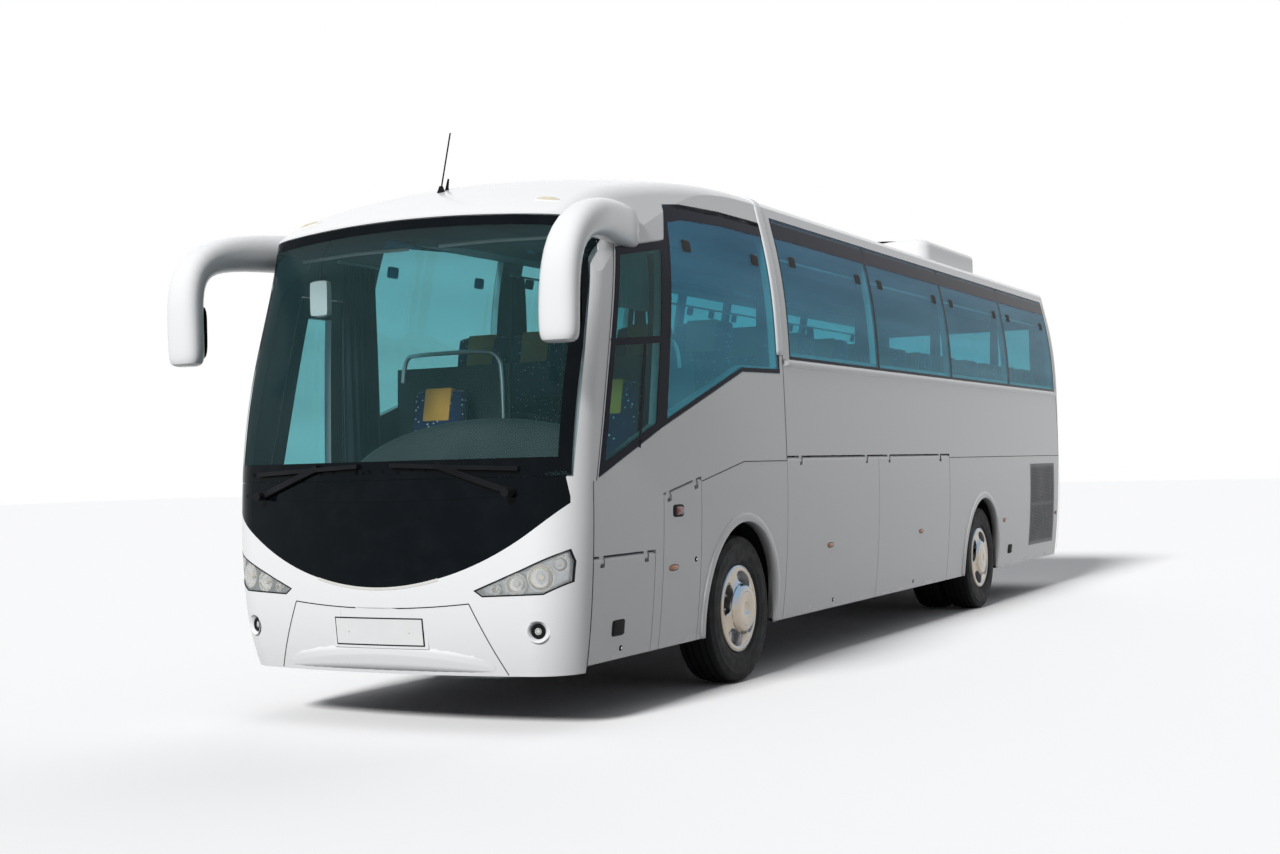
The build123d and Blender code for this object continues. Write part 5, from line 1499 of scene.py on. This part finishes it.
def hung_cloth(name, start, end, foot, head, folds, depth, material, rail):
    """Cloth hung in upright folds between two places, as wide when flat as its folds are long."""
    start, end = Vector((AXLE + start[0], start[1])), Vector((AXLE + end[0], end[1]))
    run = end - start
    side = Vector((-run.y, run.x)).normalized()
    rows = []
    for share in evenly(0, 1, 28):
        gather = 0.55 + 0.45 * share
        row = []
        for t in evenly(0, 1, folds * 14):
            swing = sin(2 * pi * folds * t + 0.5 * sin(5 * t + share)) * depth * gather
            spot = start + run * t + side * (swing + 0.01 * sin(3 * share + 9 * t))
            row.append(Vector((spot.x, spot.y, head + (foot - head) * share)))
        rows.append(row)
    made = piece(name, *grid(rows), material, outside=False)
    abs(head - foot)


def straight_rail(name, start, end, sides=10):
    ends = [(AXLE + ahead, left, height) for ahead, left, height in (start, end)]
    piece(name, *tube(ends, 0.010, sides), STEEL)


# Curtains beside the doorway and the driver, the driver's blind, and curtains gathered beside the saloon pillars
hung_cloth("right_front_curtain", (1.60, -0.985), (1.25, -0.985), 1.40, 2.98, 6, 0.026, CURTAIN,
           "right_curtain_rail")
hung_cloth("left_front_curtain", (0.80, 1.08), (0.78, 0.92), 1.62, 2.98, 4, 0.026, CURTAIN,
           "left_curtain_rail")
straight_rail("right_curtain_rail", (1.66, -0.985, 2.99), (1.19, -0.985, 2.99))
straight_rail("left_curtain_rail", (0.80, 1.12, 2.99), (0.78, 0.62, 2.99))
hung_cloth("driver_blind", (1.14, 1.115), (1.66, 1.115), 2.55, 2.93, 13, 0.007, BLIND, "driver_blind_rail")
straight_rail("driver_blind_rail", (1.12, 1.115, 2.935), (1.68, 1.115, 2.935))
for side, place in SIDES:
    left = side * 1.085
    for number, ahead in enumerate((-0.86, -3.04, -5.21, -7.38, -9.30)):
        if side > 0 or number != 2:
            ends = (ahead - 0.09, left), (ahead + 0.09, left)
            hung_cloth(f"{place}_curtain_{number}", *ends, 2.30, 3.12, 4, 0.022, CURTAIN, place + "_curtain_track")
    straight_rail(place + "_curtain_track", (-9.42, left, 3.125), (-0.75, left, 3.125), 8)

# Small dark catches at the head of each saloon pane
catch = pad(0.14, 0.085, 0.0025, 6, 8.0)
for side, place in SIDES:
    spots = [(ahead, 3.10) for outline in PANE_OUTLINES[side]
             for ahead in (outline[0][0] + 0.28, outline[1][0] - 0.28)]
    spots += [(0.72, 3.02), (-0.45, 3.04)]
    catches = [on_flank(catch, side, *spot, 0.0005) for spot in spots]
    piece(place + "_window_catches", *merged(catches), RUBBER)

# Handles and glass borders of the passenger doors
DOOR_GLASS = {"front_door_leaf": [(1.440, 1.560), (2.055, 1.560), (1.770, 2.660), (1.440, 2.660)],
              "middle_door_leaf": span(-4.851, -4.181, 1.560, 2.700)}
grip = cuboid((-0.07, 0.004, -0.014), (0.07, 0.018, 0.014), 0.006)
for body, outline in DOOR_GLASS.items():
    lay(body + "_glass_border", [border(outline, 0.035, on_side(-1, LIFT))], (0, -1, 0), BLACK, body)
    spot = (-1, sum(ahead for ahead, height in outline) / 4 + 0.2, 1.30, 0.001)
    piece(body + "_handle_cup", *on_flank(pad(0.16, 0.075, 0.004, 8, 5.0), *spot), TRIM, body)
    piece(body + "_handle", *on_flank(grip, *spot), CHROME, body)

# Woven mesh over the radiator grille
MESH, MESH_REAR, MESH_FRONT, MESH_FOOT, MESH_HEAD = 0.0166, -9.17, -8.09, 0.58, 1.44
upright = [MESH_REAR + MESH * k for k in range(66)]
level = [MESH_FOOT + MESH * k for k in range(53)]
weft = [line([(x, MESH_FOOT), (x, MESH_HEAD)], 0.0055, on_side(1, 0.0012), 0.12) for x in upright]
warp = [line([(MESH_REAR, z), (MESH_FRONT, z)], 0.0055, on_side(1, 0.0006), 0.5) for z in level]
lay("grille_mesh", weft + warp, (0, 1, 0), GRILLE, "body", 0.003)

low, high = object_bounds()
